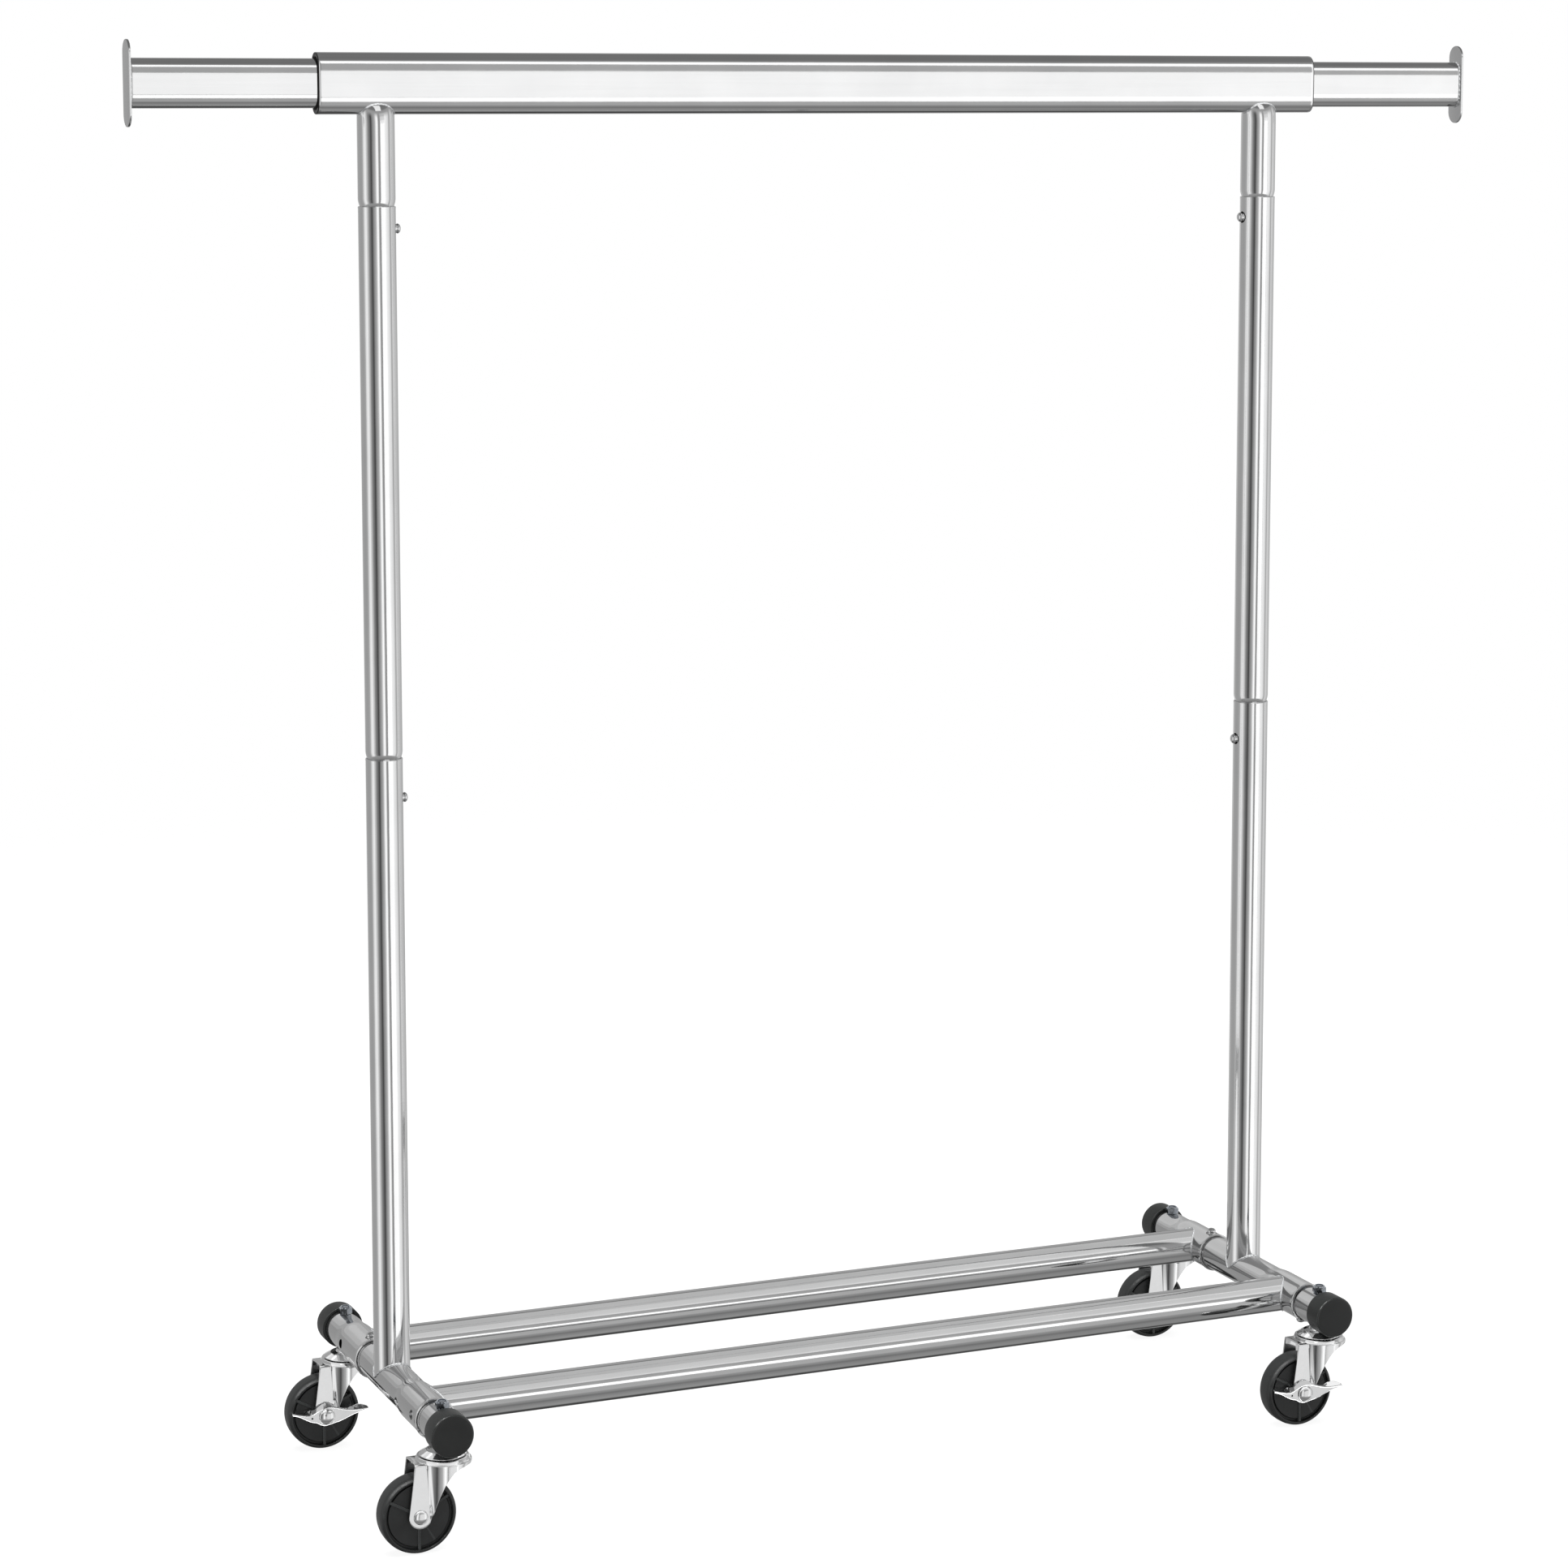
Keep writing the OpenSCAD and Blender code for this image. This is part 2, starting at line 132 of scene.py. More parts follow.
def chrome(name, axis=(1, 1, 1), tone=1.0, rough=(0.055, 0.11), wave=1.0):
    """Bright chrome plate: faint polishing lines along the tube, soft
    waviness of the steel under it, and thin cleaning haze."""
    m, nt, b = new_mat(name)
    b.inputs["Metallic"].default_value = 1.0
    v = coords(nt)
    vs = coords(nt, axis)
    haze = noise(nt, v, 9.0, 4.0, 0.6)
    lines = noise(nt, vs, 260.0, 2.0, 0.6)
    fine = noise(nt, v, 1500.0, 2.0, 0.5)
    col = ramp(nt, haze, [(0.30, tuple(tone * c for c in (0.795, 0.797, 0.800))), (0.68, tuple(tone * c for c in (0.853, 0.855, 0.857)))])
    col = mix(nt, 0.05, col, ramp(nt, lines, [(0.35, (0.56, 0.56, 0.56)), (0.6, (0.9, 0.9, 0.9))]), "MULTIPLY")
    nt.links.new(col, b.inputs["Base Color"])
    r = ramp(nt, mix(nt, 0.35, haze, fine), [(0.35, rough[0]), (0.62, rough[1])])
    nt.links.new(r, b.inputs["Roughness"])
    n1 = bump(nt, noise(nt, v, 30.0, 2.0, 0.5), 0.035 * wave, 0.004)
    n2 = bump(nt, lines, 0.02 * wave, 0.0004, n1)
    nt.links.new(n2, b.inputs["Normal"])
    return m


def zinc(name, tone=1.0, rough=(0.16, 0.30)):
    m, nt, b = new_mat(name)
    b.inputs["Metallic"].default_value = 1.0
    v = coords(nt)
    spangle = noise(nt, v, 420.0, 3.0, 0.6)
    cloud = noise(nt, v, 90.0, 3.0, 0.5)
    col = ramp(nt, cloud, [(q, tuple(tone * c for c in rgb)) for q, rgb in ((0.3, (0.58, 0.62, 0.68)), (0.5, (0.67, 0.71, 0.76)), (0.7, (0.76, 0.79, 0.82)))])
    nt.links.new(mix(nt, 0.25, col, ramp(nt, spangle, [(0.4, (0.6, 0.62, 0.66)), (0.6, (0.9, 0.92, 0.95))]), "MULTIPLY"), b.inputs["Base Color"])
    nt.links.new(ramp(nt, spangle, [(0.35, rough[0]), (0.65, rough[1])]), b.inputs["Roughness"])
    nt.links.new(bump(nt, spangle, 0.10, 0.0003), b.inputs["Normal"])
    return m


def weld(name):
    m, nt, b = new_mat(name)
    b.inputs["Metallic"].default_value = 1.0
    v = coords(nt)
    lump = noise(nt, v, 420.0, 3.0, 0.6)
    nt.links.new(ramp(nt, lump, [(0.3, (0.70, 0.71, 0.72)), (0.65, (0.86, 0.87, 0.88))]), b.inputs["Base Color"])
    nt.links.new(ramp(nt, lump, [(0.3, 0.10), (0.7, 0.20)]), b.inputs["Roughness"])
    nt.links.new(bump(nt, lump, 0.35, 0.0006), b.inputs["Normal"])
    return m


def plastic(name, dark, light, rough, grain=1400.0, depth=0.12, spec=0.5):
    m, nt, b = new_mat(name)
    v = coords(nt)
    g = noise(nt, v, grain, 2.0, 0.55)
    c = noise(nt, v, 45.0, 4.0, 0.6)
    # painted highlight: where the mesh is sharply convex (pointiness), the colour rises to 2.2 times the light tone;
    # the roughness there also drops to 0.16
    geo = node(nt, "ShaderNodeNewGeometry")
    edge = ramp(nt, geo.outputs["Pointiness"], [(0.50, 0.0), (0.58, 1.0)])
    col = ramp(nt, c, [(0.3, dark), (0.7, light)])
    nt.links.new(mix(nt, edge, col, tuple(2.2 * x for x in light)), b.inputs["Base Color"])
    nt.links.new(mix(nt, edge, ramp(nt, mix(nt, 0.5, c, g), [(0.35, rough[0]), (0.65, rough[1])]), (0.16, 0.16, 0.16)), b.inputs["Roughness"])
    b.inputs["Specular IOR Level"].default_value = spec
    nt.links.new(bump(nt, g, depth, 0.00025), b.inputs["Normal"])
    return m


M_POST = chrome("chrome_post", (1, 1, 0.02))
M_RAIL = chrome("chrome_rail", (0.02, 1, 1), rough=(0.05, 0.10))
M_OVAL = chrome("chrome_oval", (0.02, 1, 1), rough=(0.05, 0.09), wave=0.25)
M_FOOT = chrome("chrome_foot", (1, 0.02, 1), tone=0.79)
M_PLATE = chrome("chrome_plate", (1, 1, 1), tone=0.90, rough=(0.12, 0.2), wave=1.5)
M_STEEL = chrome("chrome_pressed", (1, 1, 1), tone=1.02, rough=(0.06, 0.12), wave=1.1)
M_RIVET = chrome("zinc_rivet", (1, 1, 1), tone=1.0, rough=(0.08, 0.14), wave=1.6)
M_LEVER = chrome("chrome_lever", (1, 1, 1), tone=0.96, rough=(0.05, 0.10), wave=1.2)
M_BUTTON = chrome("bright_zinc_button", (1, 1, 1), tone=1.04, rough=(0.10, 0.17), wave=1.0)
M_ZINC = zinc("zinc_plate")
M_NUT = zinc("zinc_nut", 0.78, (0.05, 0.13))
M_WELD = weld("weld_bead")
M_CAP = plastic("cap_plastic", (0.0060, 0.0066, 0.0064), (0.0100, 0.0108, 0.0105), (0.36, 0.48))
M_WHEEL = plastic("wheel_plastic", (0.0085, 0.009, 0.009), (0.0145, 0.0155, 0.0155), (0.34, 0.48), 1100.0, 0.16)
# painted shade: near-black steel for the covered spigot faces and hole walls round the button holes
M_HOLE_SHADE = zinc("bare_steel", 0.05, (0.45, 0.6))
# smoother moulded rim, its lighter colour a painted highlight
M_EDGE_HIGHLIGHT = plastic("moulded_edge", (0.010, 0.0107, 0.0105), (0.016, 0.017, 0.0168), (0.13, 0.2), 1400.0, 0.02)
M_GUIDE = plastic("guide_nylon", (0.003, 0.003, 0.003), (0.0055, 0.0055, 0.0055), (0.24, 0.36), 900.0, 0.05, 0.22)


# ------------------------------------------------------------ mesh tools
class Shape:
    """Vertices in millimetres and faces, joined up piece by piece."""

    def __init__(self):
        self.v, self.f = [], []

    def add(self, part, m=None):
        v, f = part
        base = len(self.v)
        if m is None:
            self.v += [tuple(p) for p in v]
        else:
            self.v += [tuple(m @ Vector(p)) for p in v]
        self.f += [[i + base for i in q] for q in f]
        return self


def T(x=0.0, y=0.0, z=0.0):
    return Matrix.Translation((x, y, z))


def R(deg, axis):
    return Matrix.Rotation(rad(deg), 4, axis)


MX = Matrix.Scale(-1, 4, (1, 0, 0))
MY = Matrix.Scale(-1, 4, (0, 1, 0))


def fillet(pts, seg=5):
    """Rounds the corners of a closed outline given as (a, b, radius)."""
    out, n = [], len(pts)
    for i, (x, y, r) in enumerate(pts):
        if r <= 0:
            out.append((x, y))
            continue
        p, a, b = Vector((x, y)), Vector(pts[i - 1][:2]), Vector(pts[(i + 1) % n][:2])
        u, w = (a - p).normalized(), (b - p).normalized()
        ang = math.acos(max(-1, min(1, u.dot(w))))
        if ang > math.pi - 1e-3:
            out.append((x, y))
            continue
        d = min(r / math.tan(ang / 2), 0.49 * (a - p).length, 0.49 * (b - p).length)
        rr = d * math.tan(ang / 2)
        c = p + (u + w).normalized() * (rr / math.sin(ang / 2))
        s, e = p + u * d - c, p + w * d - c
        a0 = math.atan2(s.y, s.x)
        da = (math.atan2(e.y, e.x) - a0 + math.pi) % (2 * math.pi) - math.pi
        for k in range(seg + 1):
            t = a0 + da * k / seg
            out.append((c.x + rr * math.cos(t), c.y + rr * math.sin(t)))
    return out


def lathe(prof, n=96):
    """Closed outline of (radius, height) turned about Z."""
    v, f, rings = [], [], []
    for r, z in prof:
        if abs(r) < 1e-6:
            rings.append([len(v)] * n)
            v.append((0, 0, z))
        else:
            rings.append(list(range(len(v), len(v) + n)))
            v += [(r * math.cos(2 * math.pi * k / n), r * math.sin(2 * math.pi * k / n), z) for k in range(n)]
    m = len(prof)
    for i in range(m):
        a, b = rings[i], rings[(i + 1) % m]
        for k in range(n):
            q = [a[k], a[(k + 1) % n], b[(k + 1) % n], b[k]]
            q = [x for j, x in enumerate(q) if x not in q[:j]]
            if len(q) > 2:
                f.append(q)
    return v, f


def loft(loops, closed=False, caps=True):
    """Skin over closed loops that have the same number of points."""
    n, v, f = len(loops[0]), [], []
    for lp in loops:
        v += lp
    m = len(loops)
    for i in range(m if closed else m - 1):
        a, b = i * n, ((i + 1) % m) * n
        for k in range(n):
            f.append([a + k, a + (k + 1) % n, b + (k + 1) % n, b + k])
    if caps and not closed:
        f.append(list(range(n))[::-1])
        f.append([(m - 1) * n + k for k in range(n)])
    return v, f


def sheet(rows):
    """Open grid of points."""
    n = len(rows[0])
    v = [p for r in rows for p in r]
    f = [[i * n + k, i * n + k + 1, (i + 1) * n + k + 1, (i + 1) * n + k] for i in range(len(rows) - 1) for k in range(n - 1)]
    return v, f


def block(x0, x1, y0, y1, z0, z1):
    v = [(x, y, z) for x in (x0, x1) for y in (y0, y1) for z in (z0, z1)]
    return v, [[0, 1, 3, 2], [4, 6, 7, 5], [0, 4, 5, 1], [2, 3, 7, 6], [0, 2, 6, 4], [1, 5, 7, 3]]


def sweep(path, radii, n=10, closed=True):
    """Round bead along a path."""
    m, v = len(path), []
    P = [Vector(p) for p in path]
    up = None
    for i in range(m):
        t = (P[(i + 1) % m] - P[i - 1]).normalized() if closed else (P[min(i + 1, m - 1)] - P[max(i - 1, 0)]).normalized()
        if up is None:
            up = t.orthogonal().normalized()
        up = (up - t * up.dot(t)).normalized()
        side = t.cross(up)
        v += [tuple(P[i] + (up * math.cos(2 * math.pi * k / n) + side * math.sin(2 * math.pi * k / n)) * radii[i]) for k in range(n)]
    # a closed bead's last ring may be turned against its first: match it
    shift = 0
    if closed:
        a, b = [Vector(q) for q in v[-n:]], [Vector(q) for q in v[:n]]
        shift = min(range(n), key=lambda s: sum((a[k] - b[(k + s) % n]).length for k in range(n)))
    f = []
    for i in range(m if closed else m - 1):
        s = shift if i == m - 1 else 0
        a, b = i * n, ((i + 1) % m) * n
        for k in range(n):
            f.append([a + k, a + (k + 1) % n, b + (k + 1 + s) % n, b + (k + s) % n])
    if not closed:
        f.append(list(range(n))[::-1])
        f.append([(m - 1) * n + k for k in range(n)])
    return v, f


def tidy(me, angle=32):
    bm = bmesh.new()
    bm.from_mesh(me)
    bmesh.ops.remove_doubles(bm, verts=bm.verts, dist=1e-7)
    bmesh.ops.recalc_face_normals(bm, faces=bm.faces)
    bm.to_mesh(me)
    bm.free()
    me.shade_smooth()
    me.set_sharp_from_angle(angle=rad(angle))
    me.update()


def mesh_of(shape):
    me = bpy.data.meshes.new("m")
    me.from_pydata([(x * MM, y * MM, z * MM) for x, y, z in shape.v], [], shape.f)
    return me


def bake(obj):
    dg = bpy.context.evaluated_depsgraph_get()
    me = bpy.data.meshes.new_from_object(obj.evaluated_get(dg))
    obj.modifiers.clear()
    old = obj.data
    obj.data = me
    bpy.data.meshes.remove(old)


def make(name, shape, mat, body, replaces=(), cuts=(), solid=None, bevel=None, angle=32, bevel_angle=35):
    me = mesh_of(shape)
    ob = bpy.data.objects.new(name, me)
    bpy.context.scene.collection.objects.link(ob)
    tidy(me, angle)
    if solid:
        mo = ob.modifiers.new("s", "SOLIDIFY")
        mo.thickness, mo.offset = solid * MM, -1.0
        mo.use_even_offset = True
        bake(ob)
        tidy(ob.data, angle)
    tmp = []
    for c in cuts:
        cm = mesh_of(Shape().add(c))
        tidy(cm)
        co = bpy.data.objects.new("cutter", cm)
        bpy.context.scene.collection.objects.link(co)
        mo = ob.modifiers.new("c", "BOOLEAN")
        mo.operation, mo.solver, mo.object = "DIFFERENCE", "EXACT", co
        tmp.append(co)
    if tmp:
        was = [[f(v.co[i] for v in ob.data.vertices) for i in range(3)] for f in (min, max)]
        bake(ob)
        now = [[f(v.co[i] for v in ob.data.vertices) for i in range(3)] for f in (min, max)]
        assert all(now[0][i] > was[0][i] - 1e-5 and now[1][i] < was[1][i] + 1e-5 for i in range(3)), name
        for co in tmp:
            bpy.data.objects.remove(co)
        tidy(ob.data, angle)
    if bevel:
        mo = ob.modifiers.new("b", "BEVEL")
        mo.width, mo.segments, mo.limit_method, mo.angle_limit = bevel * MM, 2, "ANGLE", rad(bevel_angle)
        mo.harden_normals = False
        mo.use_clamp_overlap = True
        bake(ob)
        tidy(ob.data, angle)
    ob.data.name = name
    ob.data.materials.clear()
    ob.data.materials.append(mat)
    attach(ob, body)
    if replaces:
        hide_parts(*replaces)
    return ob


def xcyl(r, x0, x1, y, z, n=64):
    m = T(x0, y, z) @ R(90, "Y")
    v, f = lathe([(0, 0), (r, 0), (r, x1 - x0), (0, x1 - x0)], n)
    return [tuple(m @ Vector(p)) for p in v], f


def zcyl(r, z0, z1, x, y, n=64):
    v, f = lathe([(0, z0), (r, z0), (r, z1), (0, z1)], n)
    return [(a + x, b + y, c) for a, b, c in v], f


def moved(part, m):
    return [tuple(m @ Vector(p)) for p in part[0]], part[1]


# ------------------------------------------------------------ hanging rail
TURN = ([0, 9, 12, 15, 18, 20.9], [0, 0.8, 2.0, 4.2, 7.4, 10.6])  # slope of the side, degrees, by mm from the middle of a 62 mm oval


def oval(h, t, crown=1.0, arc=28, flat=14):
    """Points (y, z) of the flat oval: sides almost flat in the middle,
    turning in a little before the round ends."""
    k = h / 62.0
    se = 20.9 * k
    for _ in range(12):
        qs = np.linspace(0, 1, 240)
        slope = np.tan(np.radians(np.interp(qs * 20.9, *TURN))) * crown
        depth = np.concatenate([[0], np.cumsum((slope[1:] + slope[:-1]) / 2)]) * se / 239
        a0 = math.atan(slope[-1])
        rr = (t / 2 - depth[-1]) / math.cos(a0)
        se = h / 2 - rr * (1 - math.sin(a0))
    side = []
    for j in range(-flat, flat + 1):
        q = math.copysign(abs(j / flat) ** 0.8, j)
        side.append((t / 2 - float(np.interp(abs(q), qs, depth)), se * q))
    zc = se - rr * math.sin(a0)
    top = []
    for j in range(1, arc):
        a = a0 + (math.pi - 2 * a0) * j / arc
        top.append((rr * math.cos(a), zc + rr * math.sin(a)))
    right = side + top
    return right + [(-y, -z) for y, z in right]


def oval_loops(stations, crown):
    """stations: (x, height, thickness), one oval loop for each, for a closed skin."""
    return [[(x, y, ZR + z) for y, z in oval(h, t, crown)] for x, h, t in stations]


def oval_tube(x0, x1, h, t, w, crown, lip=0.35):
    st = [
        (x0 + 3, h - 2 * w, t - 2 * w), (x0 + lip, h - 2 * w, t - 2 * w), (x0, h - 2 * w + lip, t - 2 * w + lip),
        (x0, h - 2 * lip, t - 2 * lip), (x0 + 0.3 * lip, h - 0.6 * lip, t - 0.6 * lip), (x0 + lip, h, t), (x0 + 3, h, t),
        ((x0 + x1) / 2, h, t),
        (x1 - 3, h, t), (x1 - lip, h, t), (x1 - 0.3 * lip, h - 0.6 * lip, t - 0.6 * lip), (x1, h - 2 * lip, t - 2 * lip),
        (x1, h - 2 * w + lip, t - 2 * w + lip), (x1 - lip, h - 2 * w, t - 2 * w), (x1 - 3, h - 2 * w, t - 2 * w),
    ]
    return loft(oval_loops(st, crown), closed=True)


CR_S, CR_B = 1.0, 1.0
make("rail_sleeve_tube", Shape().add(oval_tube(-567.5, 567.5, 62, 26, 1.2, CR_S, 0.2)), M_OVAL, "frame", ["rail_sleeve"], angle=40)

for side, sx in (("left", -1), ("right", 1)):
    mir = MX if sx < 0 else Matrix.Identity(4)
    # black liner with a thin flange over the mouth
    st = [(467.5, 50.1, 21.0), (565.6, 50.1, 21.0), (566.2, 50.5, 21.4), (567.6, 52.9, 23.4), (568.2, 53.6, 23.9), (568.4, 54.2, 24.3), (568.4, 61.0, 25.2), (568.3, 61.5, 25.6), (568.1, 61.7, 25.8), (567.52, 61.7, 25.8), (567.52, 59.5, 23.5), (467.5, 59.5, 23.5)]
    make("rail_guide_%s_liner" % side, Shape().add(loft(oval_loops(st, 1.0), closed=True), mir), M_GUIDE, "frame", ["rail_guide_" + side], angle=40)
    make("bar_%s_tube" % side, Shape().add(oval_tube(437.0, 757.6, 49.5, 20.4, 1.2, CR_B), mir), M_OVAL, "extension_" + side, ["bar_" + side], angle=40)
    # end plate: blanked steel with rolled-over edge
    st = [(757.5, 85.2, 25.2), (757.65, 85.75, 25.75), (757.95, 86.0, 26.0), (759.5, 86.0, 26.0), (759.8, 85.7, 25.7), (759.95, 85.1, 25.1), (760.0, 84.2, 24.2)]
    make("end_plate_%s_blank" % side, Shape().add(loft(oval_loops(st, 0.02)), mir), M_PLATE, "extension_" + side, ["end_plate_" + side], angle=40)
    # weld between bar and plate
    path = [(757.2, y, ZR + z) for y, z in oval(49.5, 20.4, CR_B, 40, 24)]
    rr = [0.75 + 0.22 * math.sin(i * 0.9) + 0.12 * math.sin(i * 2.3 + 1) for i in range(len(path))]
    make("end_plate_%s_weld" % side, Shape().add(sweep(path, rr, 8), mir), M_WELD, "extension_" + side, (), angle=60)


# ------------------------------------------------------------ posts
def shoulder(ra, rb, z0, z1, n=10):
    return [(rb + (ra - rb) * math.sin(math.pi / 2 * i / n), z1 + (z0 - z1) * math.cos(math.pi / 2 * i / n) * 1.0) for i in range(n + 1)]


def drawn(z0, z1, length, holes=(), rim=0.35):
    """Tube with a drawn-down spigot under the shoulder at z0 (profile only)."""
    zs = sorted(z for h in holes for z in (h - 9, h + 9))
    out = [(SPR - 0.6, z0 - length), (SPR, z0 - length + 0.6)]
    out += [(SPR, z) for z in zs if z < z0 - 1]
    out += [(SPR, z0 - 0.2)]
    n = 14
    for i in range(1, n + 1):
        q = i / n
        out.append((TR - (TR - SPR) * (1 - q) ** 1.8, z0 + 8.0 * q))
    out += [(TR, z0 + 10)] + [(TR, z) for z in zs if z > z0 + 8]
    inn = [(SPI, z0 - length), (SPI, z0), (TI, z0 + 5), (TI, z1)]
    return out, inn


def post_local(side_sign):
    return T(-PX, 0, 0) if side_sign < 0 else MX @ T(-PX, 0, 0)


def sleeve_under(y):
    return ZR - 18 - math.sqrt(max(0.0, 169 - y * y))


def stub_radii(z):
    q = max(0.0, min(1.0, (z - 1424.0) / 23.5))
    qa = max(0.0, min(1.0, (z - 1433.0) / 15.0))
    return TR - 3.2 * qa ** 2.2, TR - 10.0 * (1 - max(0.0, 1 - q ** 2.2) ** (1 / 2.2))


def stub_curve(off=0.0, n=128):
    pts = []
    for k in range(n):
        t = 2 * math.pi * k / n
        z = 1424.0
        while z < 1447.4:
            a, b = stub_radii(z)
            y = b * math.sin(t)
            if abs(y) < 13 and z >= sleeve_under(y):
                break
            z += 0.05
        a, b = stub_radii(z)
        pts.append((a * math.cos(t), b * math.sin(t), z))
    return pts


for side, sx in (("left", -1), ("right", 1)):
    loc = post_local(sx)
    # stub under the rail
    out, inn = drawn(JHI, 1425, 45, (JHI - 22.5,))
    out += [(TR, 1423)]
    n = 128
    ring = lambda r, z: [(r * math.cos(2 * math.pi * k / n), r * math.sin(2 * math.pi * k / n), z) for k in range(n)]
    loops = [ring(r, z) for r, z in out]
    for z in [1424 + 23.4 * (1 - (1 - i / 30) ** 1.8) for i in range(1, 31)]:
        a, b = stub_radii(z)
        loops.append([(a * math.cos(2 * math.pi * k / n), b * math.sin(2 * math.pi * k / n), z) for k in range(n)])
    a, b = stub_radii(1447.4)
    loops.append([((a - 1.6) * math.cos(2 * math.pi * k / n), (b - 1.6) * math.sin(2 * math.pi * k / n), 1447.4) for k in range(n)])
    loops.append(ring(8.0, 1444))
    loops.append(ring(TI - 0.6, 1423))
    for r, z in inn[::-1][1:]:
        loops.append(ring(r, z))
    oval_cut = loft([[(x, y, ZR + z) for y, z in oval(61.7, 25.7, CR_S)] for x in (-40, 40)])
    make("stub_post_%s_tube" % side, Shape().add(loft(loops, closed=True), loc), M_POST, "frame", ["stub_post_" + side],
         cuts=[moved(oval_cut, T(sx * PX)), moved(xcyl(5.3, 8, 24, 0, JHI - 22.5), loc)])
    path = stub_curve()
    rr = [0.80 + 0.08 * math.sin(i * 1.27) + 0.06 * math.sin(i * 0.53 + 2) for i in range(len(path))]
    make("stub_post_%s_weld" % side, Shape().add(sweep(path, rr, 10), loc), M_WELD, "frame", (), angle=60)
    # middle post
    out, inn = drawn(JLO, JHI, 65, (JLO - 42, JHI - 22.5))
    prof = out + [(TR, JHI - 3), (TR + 0.12, JHI - 1.6), (TR + 0.12, JHI - 0.5), (TR - 0.25, JHI), (TI + 0.3, JHI), (TI, JHI - 0.5)] + inn[:3][::-1]
    make("middle_post_%s_tube" % side, Shape().add(lathe(prof, 128), loc), M_POST, "frame", ["middle_post_" + side],
         cuts=[moved(xcyl(5.3, 8, 24, 0, JLO - 42), loc), moved(xcyl(6.3, 8, 24, 0, JHI - 22.5), loc)])
    # lower post, fish-mouthed over the foot
    prof = [(TI, FZ - 4), (TR, FZ - 4), (TR, FZ + 30), (TR, JLO - 52), (TR, JLO - 32), (TR, JLO - 3), (TR + 0.12, JLO - 1.6), (TR + 0.12, JLO - 0.5), (TR - 0.25, JLO), (TI + 0.3, JLO), (TI, JLO - 0.5)]
    foot_cut = moved(lathe([(0, -40), (TR - 0.05, -40), (TR - 0.05, 40), (0, 40)], 128), T(0, 0, FZ) @ R(90, "X"))
    make("lower_post_%s_tube" % side, Shape().add(lathe(prof, 128), loc), M_POST, "frame", ["lower_post_" + side],
         cuts=[moved(foot_cut, loc), moved(block(-30, 30, -30, 30, FZ - 30, FZ + 0.2), loc), moved(xcyl(6.3, 8, 24, 0, JLO - 42), loc)])
    path = []
    for k in range(160):
        t = 2 * math.pi * k / 160
        lift = math.sqrt((TR * math.sin(t)) ** 2 + 2.2)
        path.append((TR * 1.012 * math.cos(t), TR * 1.012 * math.sin(t), FZ + lift + 0.2))
    rr = [0.95 + 0.14 * math.sin(i * 1.13) + 0.10 * math.sin(i * 0.47 + 1) for i in range(160)]
    make("lower_post_%s_weld" % side, Shape().add(sweep(path, rr, 10), loc), M_WELD, "frame", (), angle=60)


# ------------------------------------------------------------ feet
TOY = R(-90, "X")  # lathe height becomes +Y


def foot_tube(name, prof, cuts, loc, node_name):
    m = loc @ T(0, 0, FZ) @ TOY
    return make(name, Shape().add(lathe(prof, 128), m), M_FOOT, "frame", [node_name], cuts=[moved(c, loc) for c in cuts])


def flare(y0, y1, r0, r1, n=10):
    return [(r0 + (r1 - r0) * (3 * (i / n) ** 2 - 2 * (i / n) ** 3), y0 + (y1 - y0) * i / n) for i in range(n + 1)]


